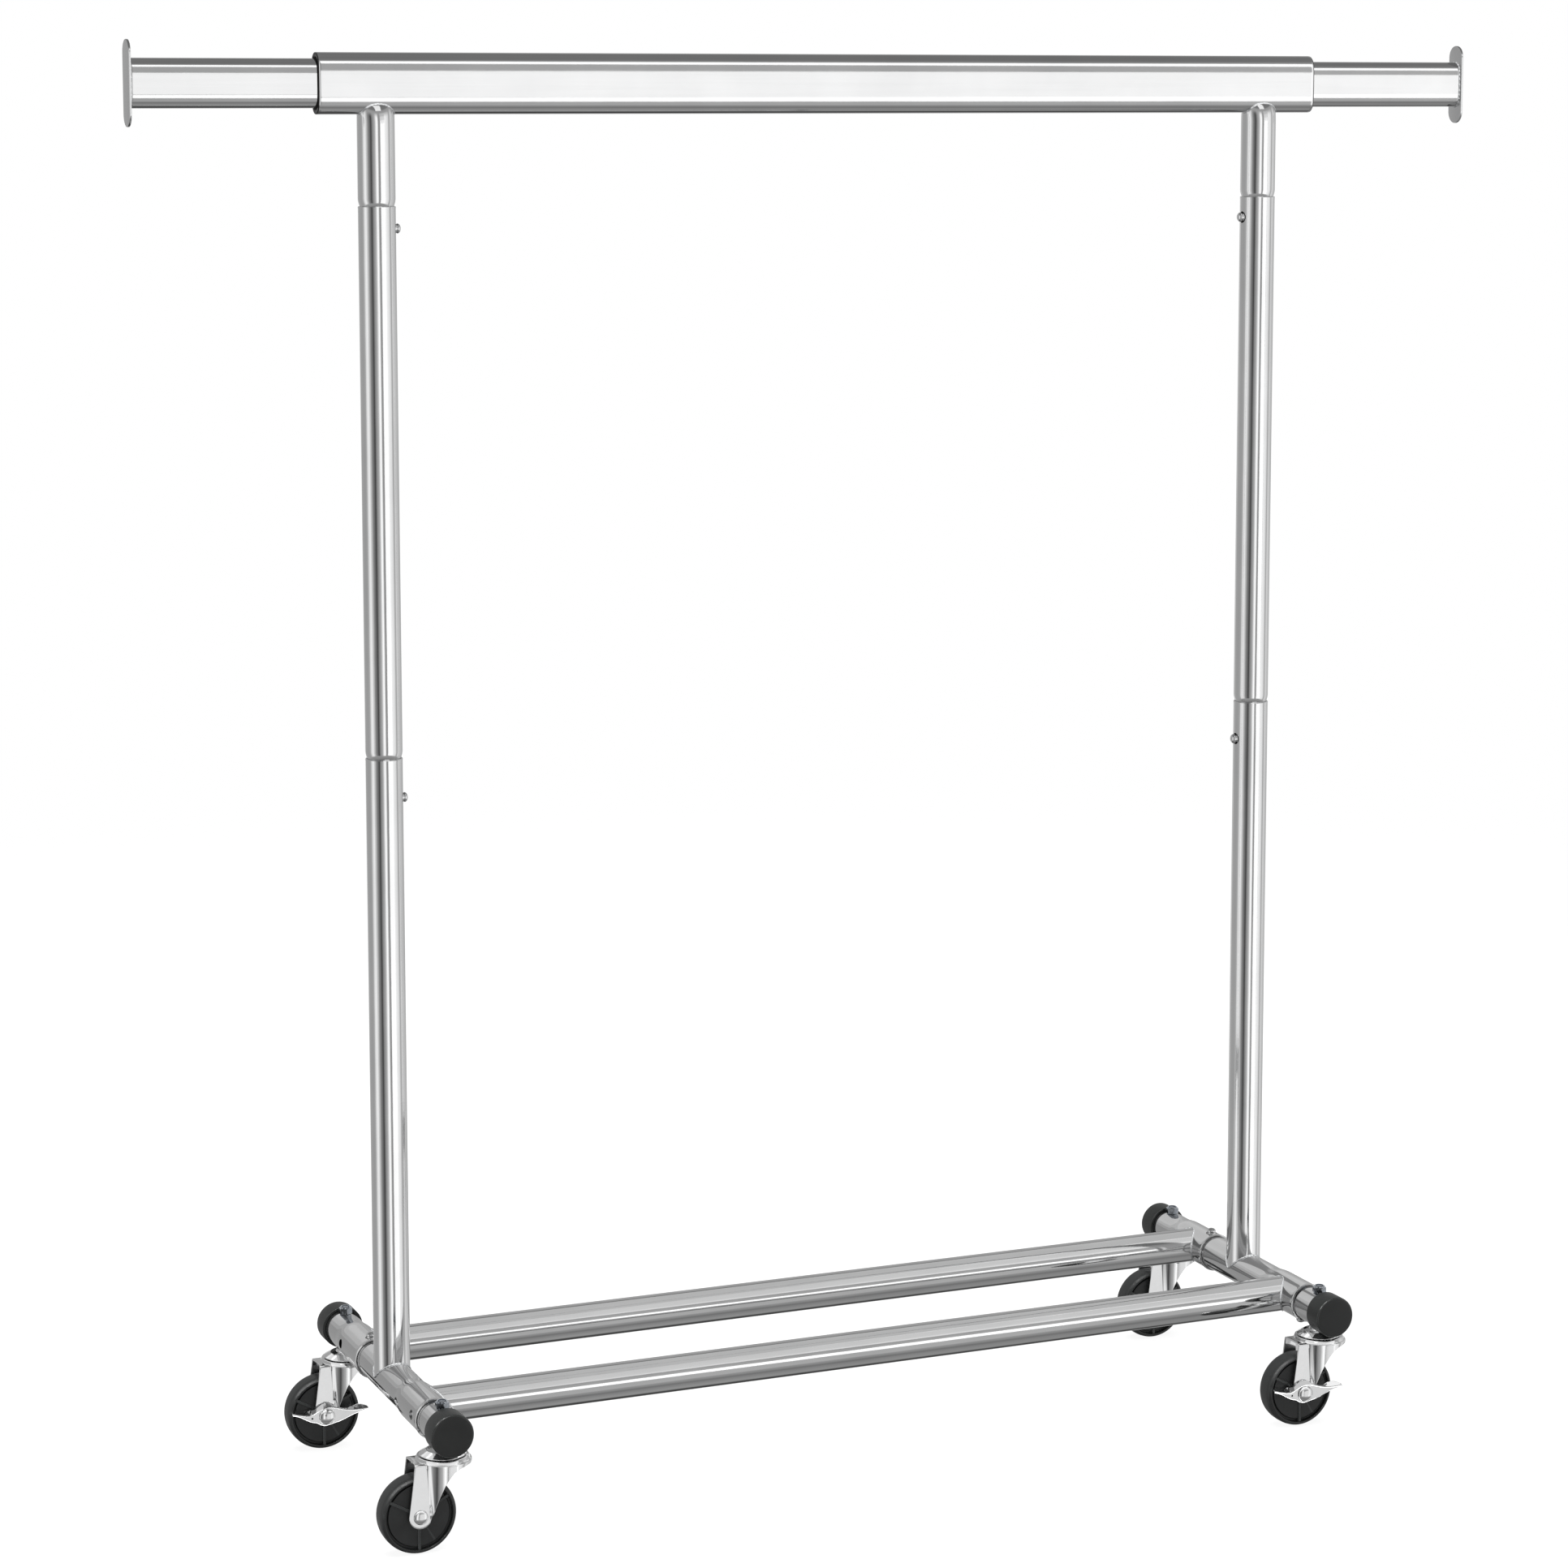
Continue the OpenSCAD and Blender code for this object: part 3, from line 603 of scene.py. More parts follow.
for side, sx in (("left", -1), ("right", 1)):
    loc = post_local(sx)
    w = 1.5
    # middle tee: socket with a rolled mouth in front, spigot behind
    prof = [(SR - 0.3, -148.0), (SR + 0.35, -147.8), (SR + 0.72, -147.0), (SR + 0.66, -146.0), (SR + 0.2, -145.2), (SR, -144.4), (SR, -141)]
    prof += [(SR, -122), (SR, -120), (SR, -89)] + flare(-89, -67.5, SR, TR) + [(TR, -60), (TR, 30), (TR, 66), (TR, 86), (TR - 0.4, 89), (TI, 89)]
    prof += [(TI, -66)] + flare(-67.5, -89, TI, SI)[0:] + [(SI, -147.6)]
    foot_tube("foot_tee_%s_tube" % side, prof, [zcyl(5.3, FZ + 8, FZ + 30, 0, 75), zcyl(6.2, FZ - 30, FZ - 8, 0, -132), xcyl(5.0, -30, -8, -131, FZ + 2)], loc, "foot_tee_" + side)
    # rear end tube
    prof = [(SR - 0.3, 63.0), (SR + 0.35, 63.2), (SR + 0.72, 64.0), (SR + 0.66, 65.0), (SR + 0.2, 65.8), (SR, 66.6), (SR, 70), (SR, 84), (SR, 112), (SR, 122)] + flare(126, 148, SR, TR)
    prof += [(TR, 160), (TR, 182), (TR, 203.4), (TR - 0.5, 204), (TI, 204), (TI, 148)] + flare(148, 126, TI, SI)[1:] + [(SI, 63.4)]
    foot_tube("foot_rear_%s_tube" % side, prof, [zcyl(6.2, FZ + 8, FZ + 30, 0, 75), zcyl(4.25, FZ - 30, FZ + 30, 0, 171), xcyl(5.0, -30, -8, 121, FZ + 2)], loc, "foot_rear_" + side)
    # front end tube
    prof = [(TI, -204), (TR - 0.5, -204), (TR, -203.4), (TR, -182), (TR, -160), (TR, -142), (TR, -122), (TR - 0.4, -118), (TI, -118)]
    foot_tube("foot_front_%s_tube" % side, prof, [zcyl(5.3, FZ - 30, FZ - 8, 0, -132), zcyl(4.25, FZ - 30, FZ + 30, 0, -171)], loc, "foot_front_" + side)
    for end, sy in (("rear", 1), ("front", -1)):
        # moulded end cap
        prof = fillet([(0, 204.05, 0), (TR + 0.03, 204.05, 0), (TR + 0.03, 182.0, 0.5), (22.35, 182.0, 0.7), (22.5, 196, 0), (22.5, 206.1, 2.2), (17, 206.3, 0), (0, 206.5, 0)], 7)
        m = T(sx * PX, 0, FZ) @ (TOY if sy > 0 else R(90, "X"))
        make("cap_%s_%s_moulding" % (side, end), Shape().add(lathe(prof, 112), m), M_CAP, "frame", ["cap_%s_%s" % (side, end)], angle=28)

# ------------------------------------------------------------ base rails
for end, sy in (("front", -1), ("rear", 1)):
    y = sy * RAILY
    n = 128
    e = PX - 8

    def prof_ring(r, x):
        return [(x, y + r * math.sin(2 * math.pi * k / n), FZ + r * math.cos(2 * math.pi * k / n)) for k in range(n)]

    st = [(TI, -e), (TR, -e), (TR, -e + 60), (TR, 0), (TR, e - 60), (TR, e), (TI, e), (TI, 0)]
    cuts = [moved(lathe([(0, -40), (SR - 0.04, -40), (SR - 0.04, 40), (0, 40)], 128), T(s * PX, y, FZ) @ R(90, "X")) for s in (-1, 1)]
    cuts += [zcyl(3.3, FZ - 30, FZ - 8, s * (PX - 36), y) for s in (-1, 1)]
    make("base_rail_%s_tube" % end, Shape().add(loft([prof_ring(r, x) for r, x in st], closed=True)), M_RAIL, "frame", ["base_rail_" + end], cuts=cuts)
    for side, s in (("left", -1), ("right", 1)):
        path = []
        for k in range(140):
            t = 2 * math.pi * k / 140
            zz, yy = TR * 1.01 * math.cos(t), TR * 1.01 * math.sin(t)
            path.append((s * (PX - math.sqrt(SR * SR - (TR * math.cos(t)) ** 2) - 0.3), y + yy, FZ + zz))
        rr = [0.72 + 0.10 * math.sin(i * 1.19) + 0.08 * math.sin(i * 0.41) for i in range(140)]
        make("base_rail_%s_weld_%s" % (end, side), Shape().add(sweep(path, rr, 8)), M_WELD, "frame", (), angle=60)


# ------------------------------------------------------------ fasteners
def hexnut(af, h, bore):
    """Chamfered hexagon nut with a bore, standing on z = 0."""
    n, loops = 96, []
    rc = af / 2 / math.cos(math.pi / 6)

    def hexr(a):
        q = (a + math.pi / 6) % (math.pi / 3) - math.pi / 6
        return af / 2 / math.cos(q)

    for z, cap in ((0.0, af / 2 * 0.985), (0.55, rc), (h - 1.0, rc), (h - 0.55, rc * 0.975), (h - 0.1, af / 2 * 1.0), (h, af / 2 * 0.94)):
        loops.append([(min(hexr(2 * math.pi * k / n), cap) * math.cos(2 * math.pi * k / n), min(hexr(2 * math.pi * k / n), cap) * math.sin(2 * math.pi * k / n), z) for k in range(n)])
    for r, z in ((5.75, h + 0.05), (5.7, h + 0.7), (5.35, h + 1.25), (4.95, h + 1.5), (4.45, h + 1.45), (bore, h + 1.1), (bore, 0.6), (bore + 0.6, 0.0)):
        loops.append([(r * math.cos(2 * math.pi * k / n), r * math.sin(2 * math.pi * k / n), z) for k in range(n)])
    return loft(loops, closed=True)


def thread(r0, r1, z0, z1, pitch, n=40, tip=0.9):
    """Threaded rod as one helical skin, closed at both ends."""
    step = pitch / n
    rows, z = [], z0
    prof_n = 4
    turns = (z1 - z0) / pitch
    total = int(turns * prof_n)
    for i in range(total + 1):
        loop = []
        for k in range(n):
            zz = z0 + (z1 - z0) * i / total
            ph = (zz / pitch + k / n) % 1.0
            tri = 1 - abs(2 * ph - 1)
            r = r0 + (r1 - r0) * tri
            if z1 - zz < tip:
                r = min(r, r1 - (tip - (z1 - zz)) * 0.9)
            a = 2 * math.pi * k / n
            loop.append((r * math.cos(a), r * math.sin(a), zz))
        rows.append(loop)
    return loft(rows)


nuts, stems, cups = Shape(), Shape(), Shape()
for i, (nm, sx, sy) in enumerate(CORNERS):
    m = T(sx * PX, sy * STEMY, 0)
    spin = {"left_front": -2, "left_rear": -1, "right_front": -8, "right_rear": -7}[nm]
    nuts.add(hexnut(13, 6.6, 4.05), m @ T(0, 0, FZ + TR) @ R(spin, "Z"))
    stems.add(lathe(fillet([(0, 88.5, 0), (6.8, 88.5, 0.8), (8, 89.6, 0.6), (8, 91.7, 0), (5, 91.7, 0), (5, 104.9, 0), (3.9, 104.9, 0), (3.9, 108, 0), (0, 108, 0)], 3), 48), m)
    stems.add(thread(3.35, 3.98, 107.0, 152.2, 1.25), m)
    prof = fillet([(4.1, 106.9, 0), (9.6, 106.9, 0.9), (10.9, 103.5, 0.9), (16.6, 103.2, 2.2), (24.1, 99.1, 0.6), (24.4, 98.4, 0.3), (22.9, 98.4, 0.3), (16.0, 101.7, 1.2), (11.0, 102.0, 0.8), (8, 104.9, 0.6), (4.1, 104.9, 0)], 5)
    cups.add(lathe(prof, 96), m)
make("stem_nuts_hex", nuts, M_NUT, "frame", ["stem_nuts"], angle=28)
make("caster_stems_threaded", stems, M_ZINC, "frame", ["caster_stems"], angle=40)
make("swivel_cups_pressed", cups, M_STEEL, "frame", ["swivel_cups"], angle=40)


# ------------------------------------------------------------ snap buttons
def snap(ri, ro, length):
    s = Shape()
    chord = math.sqrt(ri * ri - 5.3 ** 2)
    z1, z2 = chord - 0.25, chord - 7.5
    mid, rr = (z1 - z2) / 2, (z1 + z2) / 2
    outer = [(8, z1)] + [(-length + rr * math.cos(rad(90 + 180 * k / 14)), mid + rr * math.sin(rad(90 + 180 * k / 14))) for k in range(15)] + [(-6, -z2)]
    inner = [(-6, 1 - z2)] + [(-length + (rr - 1) * math.cos(rad(270 - 180 * k / 14)), mid + (rr - 1) * math.sin(rad(270 - 180 * k / 14))) for k in range(15)] + [(8, z1 - 1)]
    o = outer + inner
    s.add(loft([[(x, y, z) for x, z in o] for y in (-4.4, 4.4)]))
    prof = [(0, z1 - 0.5), (5.0, z1 - 0.5), (5.0, ro - 0.6), (4.75, ro - 0.2), (4.6, ro + 0.3), (4.7, ro + 0.8)]
    prof += [(5.15 * math.cos(rad(a)), ro + 2.1 + (3.5 if a > 0 else 1.5) * math.sin(rad(a))) for a in (-38, -25, -12, 0, 9, 18, 27, 36, 45, 54, 63, 72, 81)] + [(0, ro + 5.6)]
    s.add(lathe(prof, 64))
    return s


def button(name, m, ri, ro, length, body):
    s = snap(ri, ro, length)
    make(name, Shape().add((s.v, s.f), m), M_BUTTON, body, [body], angle=30)


for side, sx in (("left", -1), ("right", 1)):
    loc = post_local(sx)
    button("button_upper_%s_pin" % side, loc @ T(0, 0, JHI - 22.5) @ R(90, "Y"), SPI, TR, 34, "button_upper_" + side)
    button("button_lower_%s_pin" % side, loc @ T(0, 0, JLO - 42) @ R(90, "Y"), SPI, TR, 34, "button_lower_" + side)
    button("button_foot_rear_%s_pin" % side, T(sx * PX, 75, FZ) @ R(90, "Z"), TI, SR, 30, "button_foot_rear_" + side)
    button("button_foot_front_%s_pin" % side, T(sx * PX, -132, FZ) @ R(180, "X") @ R(90, "Z"), TI, SR, 20, "button_foot_front_" + side)


# ------------------------------------------------------------ casters
def lerp(tab, x):
    return float(np.interp(x, [p[0] for p in tab], [p[1] for p in tab]))


def smooth(q):
    q = max(0.0, min(1.0, q))
    return q * q * (3 - 2 * q)


REAR = [(-18.1, 34.0), (-17.4, 39.6), (-15.0, 48.4), (-11.0, 60.5), (-6.4, 71.4), (-1.4, 80.0), (3.8, 86.0), (11, 89.0), (20, 90.2), (29.8, 90.4)]
ZT, RB = 94.5, 2.4


def skirt_y(x, z):
    """Half width of the fork behind its flat legs: a round wall under the
    plate that draws in slightly towards the axle."""
    q = min(1.0, max(0.0, (92.0 - z) / 52.0))
    cx, cy, r = 1.5 - 1.2 * q, -0.4 * q, 28.3 - 1.2 * q
    return cy + math.sqrt(max(0.0, r * r - (x - cx) ** 2))


def fork_shell():
    # half outline, front side: leg columns then skirt columns
    cols = []
    NL, NS, NW = 10, 34, 26
    for i in range(NL + 1):
        s = i / NL
        top = (-33.8 + 11.9 * s, ZT)
        a = rad(173 + (326 - 173) * s)
        bot = (-TRAIL + 12 * math.cos(a), AXZ + 12 * math.sin(a))
        cols.append(("leg", top, bot, s))
    for i in range(1, NS + 1):
        t = i / NS
        th = rad(145.6) * (1 - t)
        xt = 1.5 + 28.3 * math.cos(th)
        xb = xt + 3.8 * (1 - t) ** 5
        cols.append(("skirt", (xt, ZT), (xb, lerp(REAR, xb)), t))
    # each column: list of points from the plate's inset down to the edge
    def column(c):
        kind, (xt, zt), (xb, zb), q = c
        pts = []
        for j in range(NW + 1):
            w = j / NW
            z = (ZT - RB) + (zb - (ZT - RB)) * w
            x = xt + (xb - xt) * w
            if kind == "leg":
                y = 16.0
            else:
                y = skirt_y(x, z)
                y = 16.0 + (y - 16.0) * smooth(q / 0.06)
                if q > 0.97:
                    y *= (1 - q) / 0.03 if q < 1 else 0.0
            pts.append([x, -y, z])
        # bend over to the plate
        x0, y0 = pts[0][0], -pts[0][1]
        if kind == "leg":
            nx, ny = 0.0, 1.0
        else:
            dx, dy = x0 - 1.5, y0
            l = math.hypot(dx, dy) or 1.0
            nx, ny = dx / l, dy / l
            nx, ny = nx * smooth(q / 0.08), ny * smooth(q / 0.08) + (1 - smooth(q / 0.08))
        head = []
        for j in range(6):
            a = math.pi / 2 * j / 6
            head.append([x0 - nx * RB * (1 - math.sin(a)), -(y0 - ny * RB * (1 - math.sin(a))), ZT - RB * (1 - math.cos(a))])
        return head + pts
    front = [column(c) for c in cols]
    back = [[[p[0], -p[1], p[2]] for p in c] for c in front[:-1]][::-1]
    allc = front + back
    v, f = sheet([[tuple(p) for p in c] for c in allc])
    # flat plate on top, its free edge slightly hollow
    rim = [tuple(c[0]) for c in allc]
    hollow = []
    y1 = rim[-1][1]
    for k in range(1, 10):
        q = k / 10
        hollow.append((rim[-1][0] + 1.6 * math.sin(math.pi * q), y1 + (rim[0][1] - y1) * q, ZT))
    base = len(v)
    v = v + rim + hollow
    f = f + [list(range(base, base + len(rim) + len(hollow)))]
    return v, f


def ring_race():
    return lathe(fillet([(5.05, 94.0, 0), (28.0, 94.0, 0), (27.6, 94.9, 0.5), (26.2, 97.4, 1.2), (21.9, 97.7, 0.4), (20.6, 96.0, 0.6), (15.4, 96.0, 0.6), (14.4, 97.6, 0.5), (5.05, 97.6, 0)], 5), 112)


LOW = [(-67, 45.3), (-63, 44.0), (-58, 41.9), (-52, 38.3), (-47, 35.6), (-43.5, 34.4), (-39.5, 33.4), (-36, 31.0), (-31.3, 29.4), (-27, 29.8), (-22, 31.0), (-15, 32.4), (-9, 34.3), (-4, 36.4), (2, 38.6), (8, 40.1), (13, 41.2), (18.3, 42.2)]
UPP = [(-67, 45.7), (-63, 44.9), (-58, 43.6), (-52, 42.2), (-47, 41.9), (-43, 43.2), (-38, 46.0), (-33, 48.1), (-28, 48.9), (-23, 48.5), (-17, 46.9), (-10, 44.7), (-4, 43.3), (2, 42.6), (8, 42.5), (13, 42.6), (18.3, 42.7)]
DEP = [(-67, 0.3), (-66, 3.4), (-64, 6.0), (-61, 8.2), (-56, 9.8), (-50, 9.9), (-46.5, 8.4), (-44, 6.0), (-41.5, 4.8), (-36, 5.6), (-29, 6.0), (-24, 5.2), (-21, 3.0), (-17, 2.0), (-10, 1.8), (-5, 2.6), (-1, 5.2), (3, 7.8), (8, 8.6), (12, 8.0), (15, 6.0), (17, 3.6), (18.3, 0.3)]
TILT = [(-67, 9), (-52, 10), (-48, 16), (-45, 30), (-39, 50), (-28, 54), (-22, 50), (-12, 42), (-2, 28), (6, 22), (18.3, 20)]


def lever_sheet():
    """Pressed strip 1.3 mm thick, its rims rounded: each section is a
    strip's middle line, up the plate, round the bend and out along the
    flange, with the thickness laid round it."""
    loops = []
    xs = [-67.0, -66.93, -66.75, -66.45] + [-66.0 + 83.4 * i / 118 for i in range(119)] + [17.75, 18.05, 18.23, 18.3]
    for x in xs:
        zl, zu, d, be = lerp(LOW, x), lerp(UPP, x), lerp(DEP, x), rad(lerp(TILT, x))
        end = min(x + 67.0, 18.3 - x)
        t = 1.3 * math.sqrt(max(0.02, 1 - (1 - min(1.0, end / 0.65)) ** 2))
        h = t / 2
        d = max(0.2, d)
        ang = (math.pi / 2 - be) * smooth(d / 2.4)
        rc = 1.25
        y0 = -22.1 + 0.65
        z0, z1 = zl + 0.65, zu - 0.35
        if z1 < z0 + 0.15:
            z0 = z1 = (z0 + z1) / 2
            z0 -= 0.08
            z1 += 0.08
        mid = [(y0, z0 + (z1 - z0) * k / 6) for k in range(7)]
        for k in range(1, 7):
            a = ang * k / 6
            mid.append((y0 + rc * (1 - math.cos(a)), z1 + rc * math.sin(a)))
        ya, za = mid[-1]
        run = max(0.15, d - 0.9)
        for k in range(1, 7):
            q = run * k / 6
            mid.append((ya + q * math.sin(ang), za + q * math.cos(ang)))
        left, right = [], []
        for k, (y, z) in enumerate(mid):
            a, b = mid[max(0, k - 1)], mid[min(len(mid) - 1, k + 1)]
            dy, dz = b[0] - a[0], b[1] - a[1]
            l = math.hypot(dy, dz)
            ny, nz = -dz / l, dy / l
            left.append((y + ny * h, z + nz * h))
            right.append((y - ny * h, z - nz * h))
        dy, dz = mid[-1][0] - mid[-2][0], mid[-1][1] - mid[-2][1]
        a1 = math.atan2(dz, dy)
        tip = [(mid[-1][0] + h * math.cos(a1 + math.pi / 2 - math.pi * k / 8), mid[-1][1] + h * math.sin(a1 + math.pi / 2 - math.pi * k / 8)) for k in range(1, 8)]
        foot = [(mid[0][0] + h * math.cos(-math.pi * k / 8), mid[0][1] + h * math.sin(-math.pi * k / 8)) for k in range(1, 8)]
        loops.append([(x, y, z) for y, z in left + tip + right[::-1] + foot])
    return loft(loops)


def dome(r, h, flat=0.8):
    prof = [(0, 0), (r - 0.8, 0), (r - 0.8, 0.3), (r - 0.15, 0.4), (r, 0.6), (r, flat)]
    for k in range(1, 13):
        a = math.pi / 2 * k / 12
        prof.append((r * math.cos(a), flat + (h - flat) * math.sin(a)))
    prof[-1] = (0, h)
    return prof


def wheel_shape():
    w, r = 12.0, 40.0
    half = [(4.06, w + 1.2, 0), (9.4, w + 1.2, 0.7), (10.4, w - 2.4, 1.2), (r - 8.0, w - 2.6, 0.6), (r - 7.3, w - 5.0, 0.5), (r - 5.1, w - 5.0, 0.6), (r - 4.7, w - 0.1, 0.6), (r - 3.2, w - 0.1, 1.2), (r - 0.9, w - 2.3, 3.0), (r - 0.25, w - 6.0, 6), (r, 0, 0)]
    pts = half[:-1] + [(r, 0, 0)] + [(a, -b, c) for a, b, c in half[:-1][::-1]]
    s = Shape().add(lathe(fillet(pts, 6), 128))
    for a in (30, 150, 270):
        for mz in (1, -1):
            m = Matrix.Scale(mz, 4, (0, 0, 1)) @ R(a, "Z")
            ribs = []
            for k in range(0, 9):
                q = k / 8
                x = 7.5 + (r - 4.9 - 7.5) * q
                hw, z1 = 1.7 - 0.15 * q, w - 0.9 - 0.35 * math.sin(math.pi * q)
                z0 = w - 5.6
                ribs.append([(x, -hw - 0.2, z0), (x, hw + 0.2, z0), (x, hw, z1 - 0.5), (x, hw - 0.45, z1), (x, -hw + 0.45, z1), (x, -hw, z1 - 0.5)])
            s.add(loft(ribs), m)
    return s


WH, FORK, RACE = wheel_shape(), fork_shell(), ring_race()
for nm, sx, sy in CORNERS:
    at = T(sx * PX, sy * STEMY, 0)
    braked = nm in ("left_rear", "right_front")
    body = "fork_" + nm
    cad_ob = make("fork_%s_pressing" % nm, Shape().add(FORK, at), M_STEEL, body, ["fork_" + nm],
                 solid=2.0, cuts=[moved(moved(lathe([(0, -30), (4.02, -30), (4.02, 30), (0, 30)], 40), T(-TRAIL, 0, AXZ) @ R(90, "X")), at),
                                  moved(zcyl(5.1, 85, 100, 0, 0, 40), at)], bevel=0.35, angle=34, bevel_angle=50)
    make("fork_%s_race" % nm, Shape().add(RACE, at), M_STEEL, body, (), angle=34)
    y0 = -22.4 if braked else -16.05
    ax = Shape()
    ax.add(lathe([(0, y0 + 0.1 if False else -16.0), (4.0, -16.0), (4.0, 22.5 if braked else 16.2), (0, 22.5 if braked else 16.2)], 48), at @ T(-TRAIL, 0, AXZ) @ R(90, "X"))
    hr, hh = (8.9, 4.8) if braked else (7.5, 3.2)
    ax.add(lathe(dome(hr, hh, 0.9 if braked else 0.6), 64), at @ T(-TRAIL, y0, AXZ) @ R(90, "X"))
    ax.add(lathe(dome(6.5, 2.6, 0.5), 64), at @ T(-TRAIL, 16.05, AXZ) @ R(-90, "X"))
    make("axle_%s_rivet" % nm, ax, M_RIVET, body, ["axle_" + nm], angle=34)
    make("wheel_%s_moulding" % nm, Shape().add((WH.v, WH.f), at @ T(-TRAIL, 0, AXZ) @ R(90, "X")), M_WHEEL, "wheel_" + nm, ["wheel_" + nm], angle=30)
    if braked:
        make("brake_lever_%s_pressing" % nm, Shape().add(lever_sheet(), at), M_LEVER, "brake_lever_" + nm, ["brake_lever_" + nm],
             cuts=[moved(moved(lathe([(0, -8), (4.05, -8), (4.05, 8), (0, 8)], 40), T(-TRAIL, -22.013, AXZ) @ R(90, "X")), at),
                   moved(moved(lathe([(0, -6), (1.1, -6), (1.1, 6), (0, 6)], 24), T(-45, -22.017, 39.4) @ R(90, "X")), at)], angle=40)

# moulded edges are smoother than the grained faces; their colour is also a little lighter, a painted highlight along
# the cap and wheel rims
for o in list(bpy.data.objects):
    if o.type != "MESH" or not o.name.endswith("_moulding"):
        continue
    o.data.materials.append(M_EDGE_HIGHLIGHT)
    lo = [min(v.co[i] for v in o.data.vertices) for i in range(3)]
    hi = [max(v.co[i] for v in o.data.vertices) for i in range(3)]
    mid = [(a + b) / 2 for a, b in zip(lo, hi)]
    ends = o.name.startswith("cap_")
    for f in o.data.polygons:
        cx, cy, cz = (f.center[i] - mid[i] for i in range(3))
        r = math.hypot(cx, cz) * 1000
        if ends and r > 20.3 and abs(cy) * 1000 > 10.2 and cy * mid[1] > 0 and 0.12 < abs(f.normal[1]) < 0.97:
            f.material_index = 1
        elif not ends and 34.4 < r < 37.4 and abs(f.normal[1]) < 0.985 and abs(cy) * 1000 > 9.0:
            f.material_index = 1

# painted shade: the drawn spigots round the button holes, where the outer tube covers them, and the cut walls of the
# holes get a near-black steel that stands in for the shadow in the holes
for o in list(bpy.data.objects):
    if o.type != "MESH" or not (o.name.startswith(("stub_post_", "middle_post_", "lower_post_")) and o.name.endswith("_tube")):
        continue
    sx = -1 if "_left_" in o.name else 1
    o.data.materials.append(M_HOLE_SHADE)
    for f in o.data.polygons:
        x, y, z = (c * 1000 for c in f.center)
        x -= sx * PX
        r, n = math.hypot(x, y), f.normal
        for hz in (JHI - 22.5, JLO - 42):
            far = math.hypot(y, z - hz)
            if x * sx < 0 and (14.0 < r < 17.45 and far < 9.0 or 17.45 < r < 18.98 and far < 6.6 and abs(n.x) < 0.5):
                f.material_index = 1

# CAD nodes that stay as they are get their finish
for nm, mat in (("bar_glide_left", M_GUIDE), ("bar_glide_right", M_GUIDE), ("rail_spigots", M_RAIL), ("rail_screws", M_ZINC), ("swivel_balls", M_ZINC)):
    o = frame["nodes"][nm]
    o.data.materials.clear()
    o.data.materials.append(mat)

# ------------------------------------------------------------ stage
sc = bpy.context.scene
sc.view_settings.view_transform = "Standard"
sc.view_settings.look = "None"

n = 96
fv, ff = [(0, 0, 0)], []
radii = (0.6, 1.2, 2.0, 3.0, 4.5, 7.0)
for r in radii:
    fv += [(r * math.cos(2 * math.pi * k / n), r * math.sin(2 * math.pi * k / n), 0) for k in range(n)]
for k in range(n):
    ff.append([0, 1 + k, 1 + (k + 1) % n])
for i in range(len(radii) - 1):
    a, b = 1 + i * n, 1 + (i + 1) * n
    for k in range(n):
        ff.append([a + k, b + k, b + (k + 1) % n, a + (k + 1) % n])
me = bpy.data.meshes.new("floor")
me.from_pydata(fv, [], ff)
floor = bpy.data.objects.new("floor", me)
sc.collection.objects.link(floor)
fm, nt, b = new_mat("floor_paper")
b.inputs["Roughness"].default_value = 0.9
b.inputs["Specular IOR Level"].default_value = 0.0
v = coords(nt)
paper = ramp(nt, noise(nt, v, 3.0, 3.0), [(0.3, (0.925, 0.925, 0.925)), (0.7, (0.95, 0.95, 0.95))])
nt.links.new(mix(nt, 1.0, paper, (0.11, 0.11, 0.11), "MULTIPLY"), b.inputs["Base Color"])
nt.links.new(paper, b.inputs["Emission Color"])
b.inputs["Emission Strength"].default_value = 0.98
ln = node(nt, "ShaderNodeVectorMath", operation="LENGTH")
nt.links.new(v, ln.inputs[0])
mr = node(nt, "ShaderNodeMapRange")
mr.inputs["From Min"].default_value, mr.inputs["From Max"].default_value = 1.6, 4.2
mr.inputs["To Min"].default_value, mr.inputs["To Max"].default_value = 1.0, 0.0
mr.interpolation_type = "SMOOTHSTEP"
nt.links.new(ln.outputs["Value"], mr.inputs["Value"])
nt.links.new(mr.outputs["Result"], b.inputs["Alpha"])
me.materials.append(fm)
floor.visible_glossy = False
floor.visible_shadow = False

# ------------------------------------------------------------ light
wd = bpy.data.worlds.new("studio")
sc.world = wd
wd.use_nodes = True
nt = wd.node_tree
nt.nodes.clear()
wout = node(nt, "ShaderNodeOutputWorld")
tc = node(nt, "ShaderNodeTexCoord")
sep = node(nt, "ShaderNodeSeparateXYZ")
nt.links.new(tc.outputs["Generated"], sep.inputs[0])


def fmath(op, a, b=None, c=None):
    m = node(nt, "ShaderNodeMath", operation=op)
    for s, v in zip(m.inputs, (a, b, c)):
        if v is None:
            continue
        if isinstance(v, (int, float)):
            s.default_value = v
        else:
            nt.links.new(v, s)
    return m.outputs[0]


# direction: azimuth from -Y towards +X, elevation, both in degrees
neg_y = fmath("MULTIPLY", sep.outputs["Y"], -1.0)
az = fmath("MULTIPLY", fmath("ARCTAN2", sep.outputs["X"], neg_y), 180 / math.pi)
el = fmath("MULTIPLY", fmath("ARCSINE", sep.outputs["Z"]), 180 / math.pi)


def step(x, a, b):
    m = node(nt, "ShaderNodeMapRange")
    m.interpolation_type = "SMOOTHSTEP"
    m.inputs["From Min"].default_value, m.inputs["From Max"].default_value = a, b
    nt.links.new(x, m.inputs["Value"])
    return m.outputs["Result"]


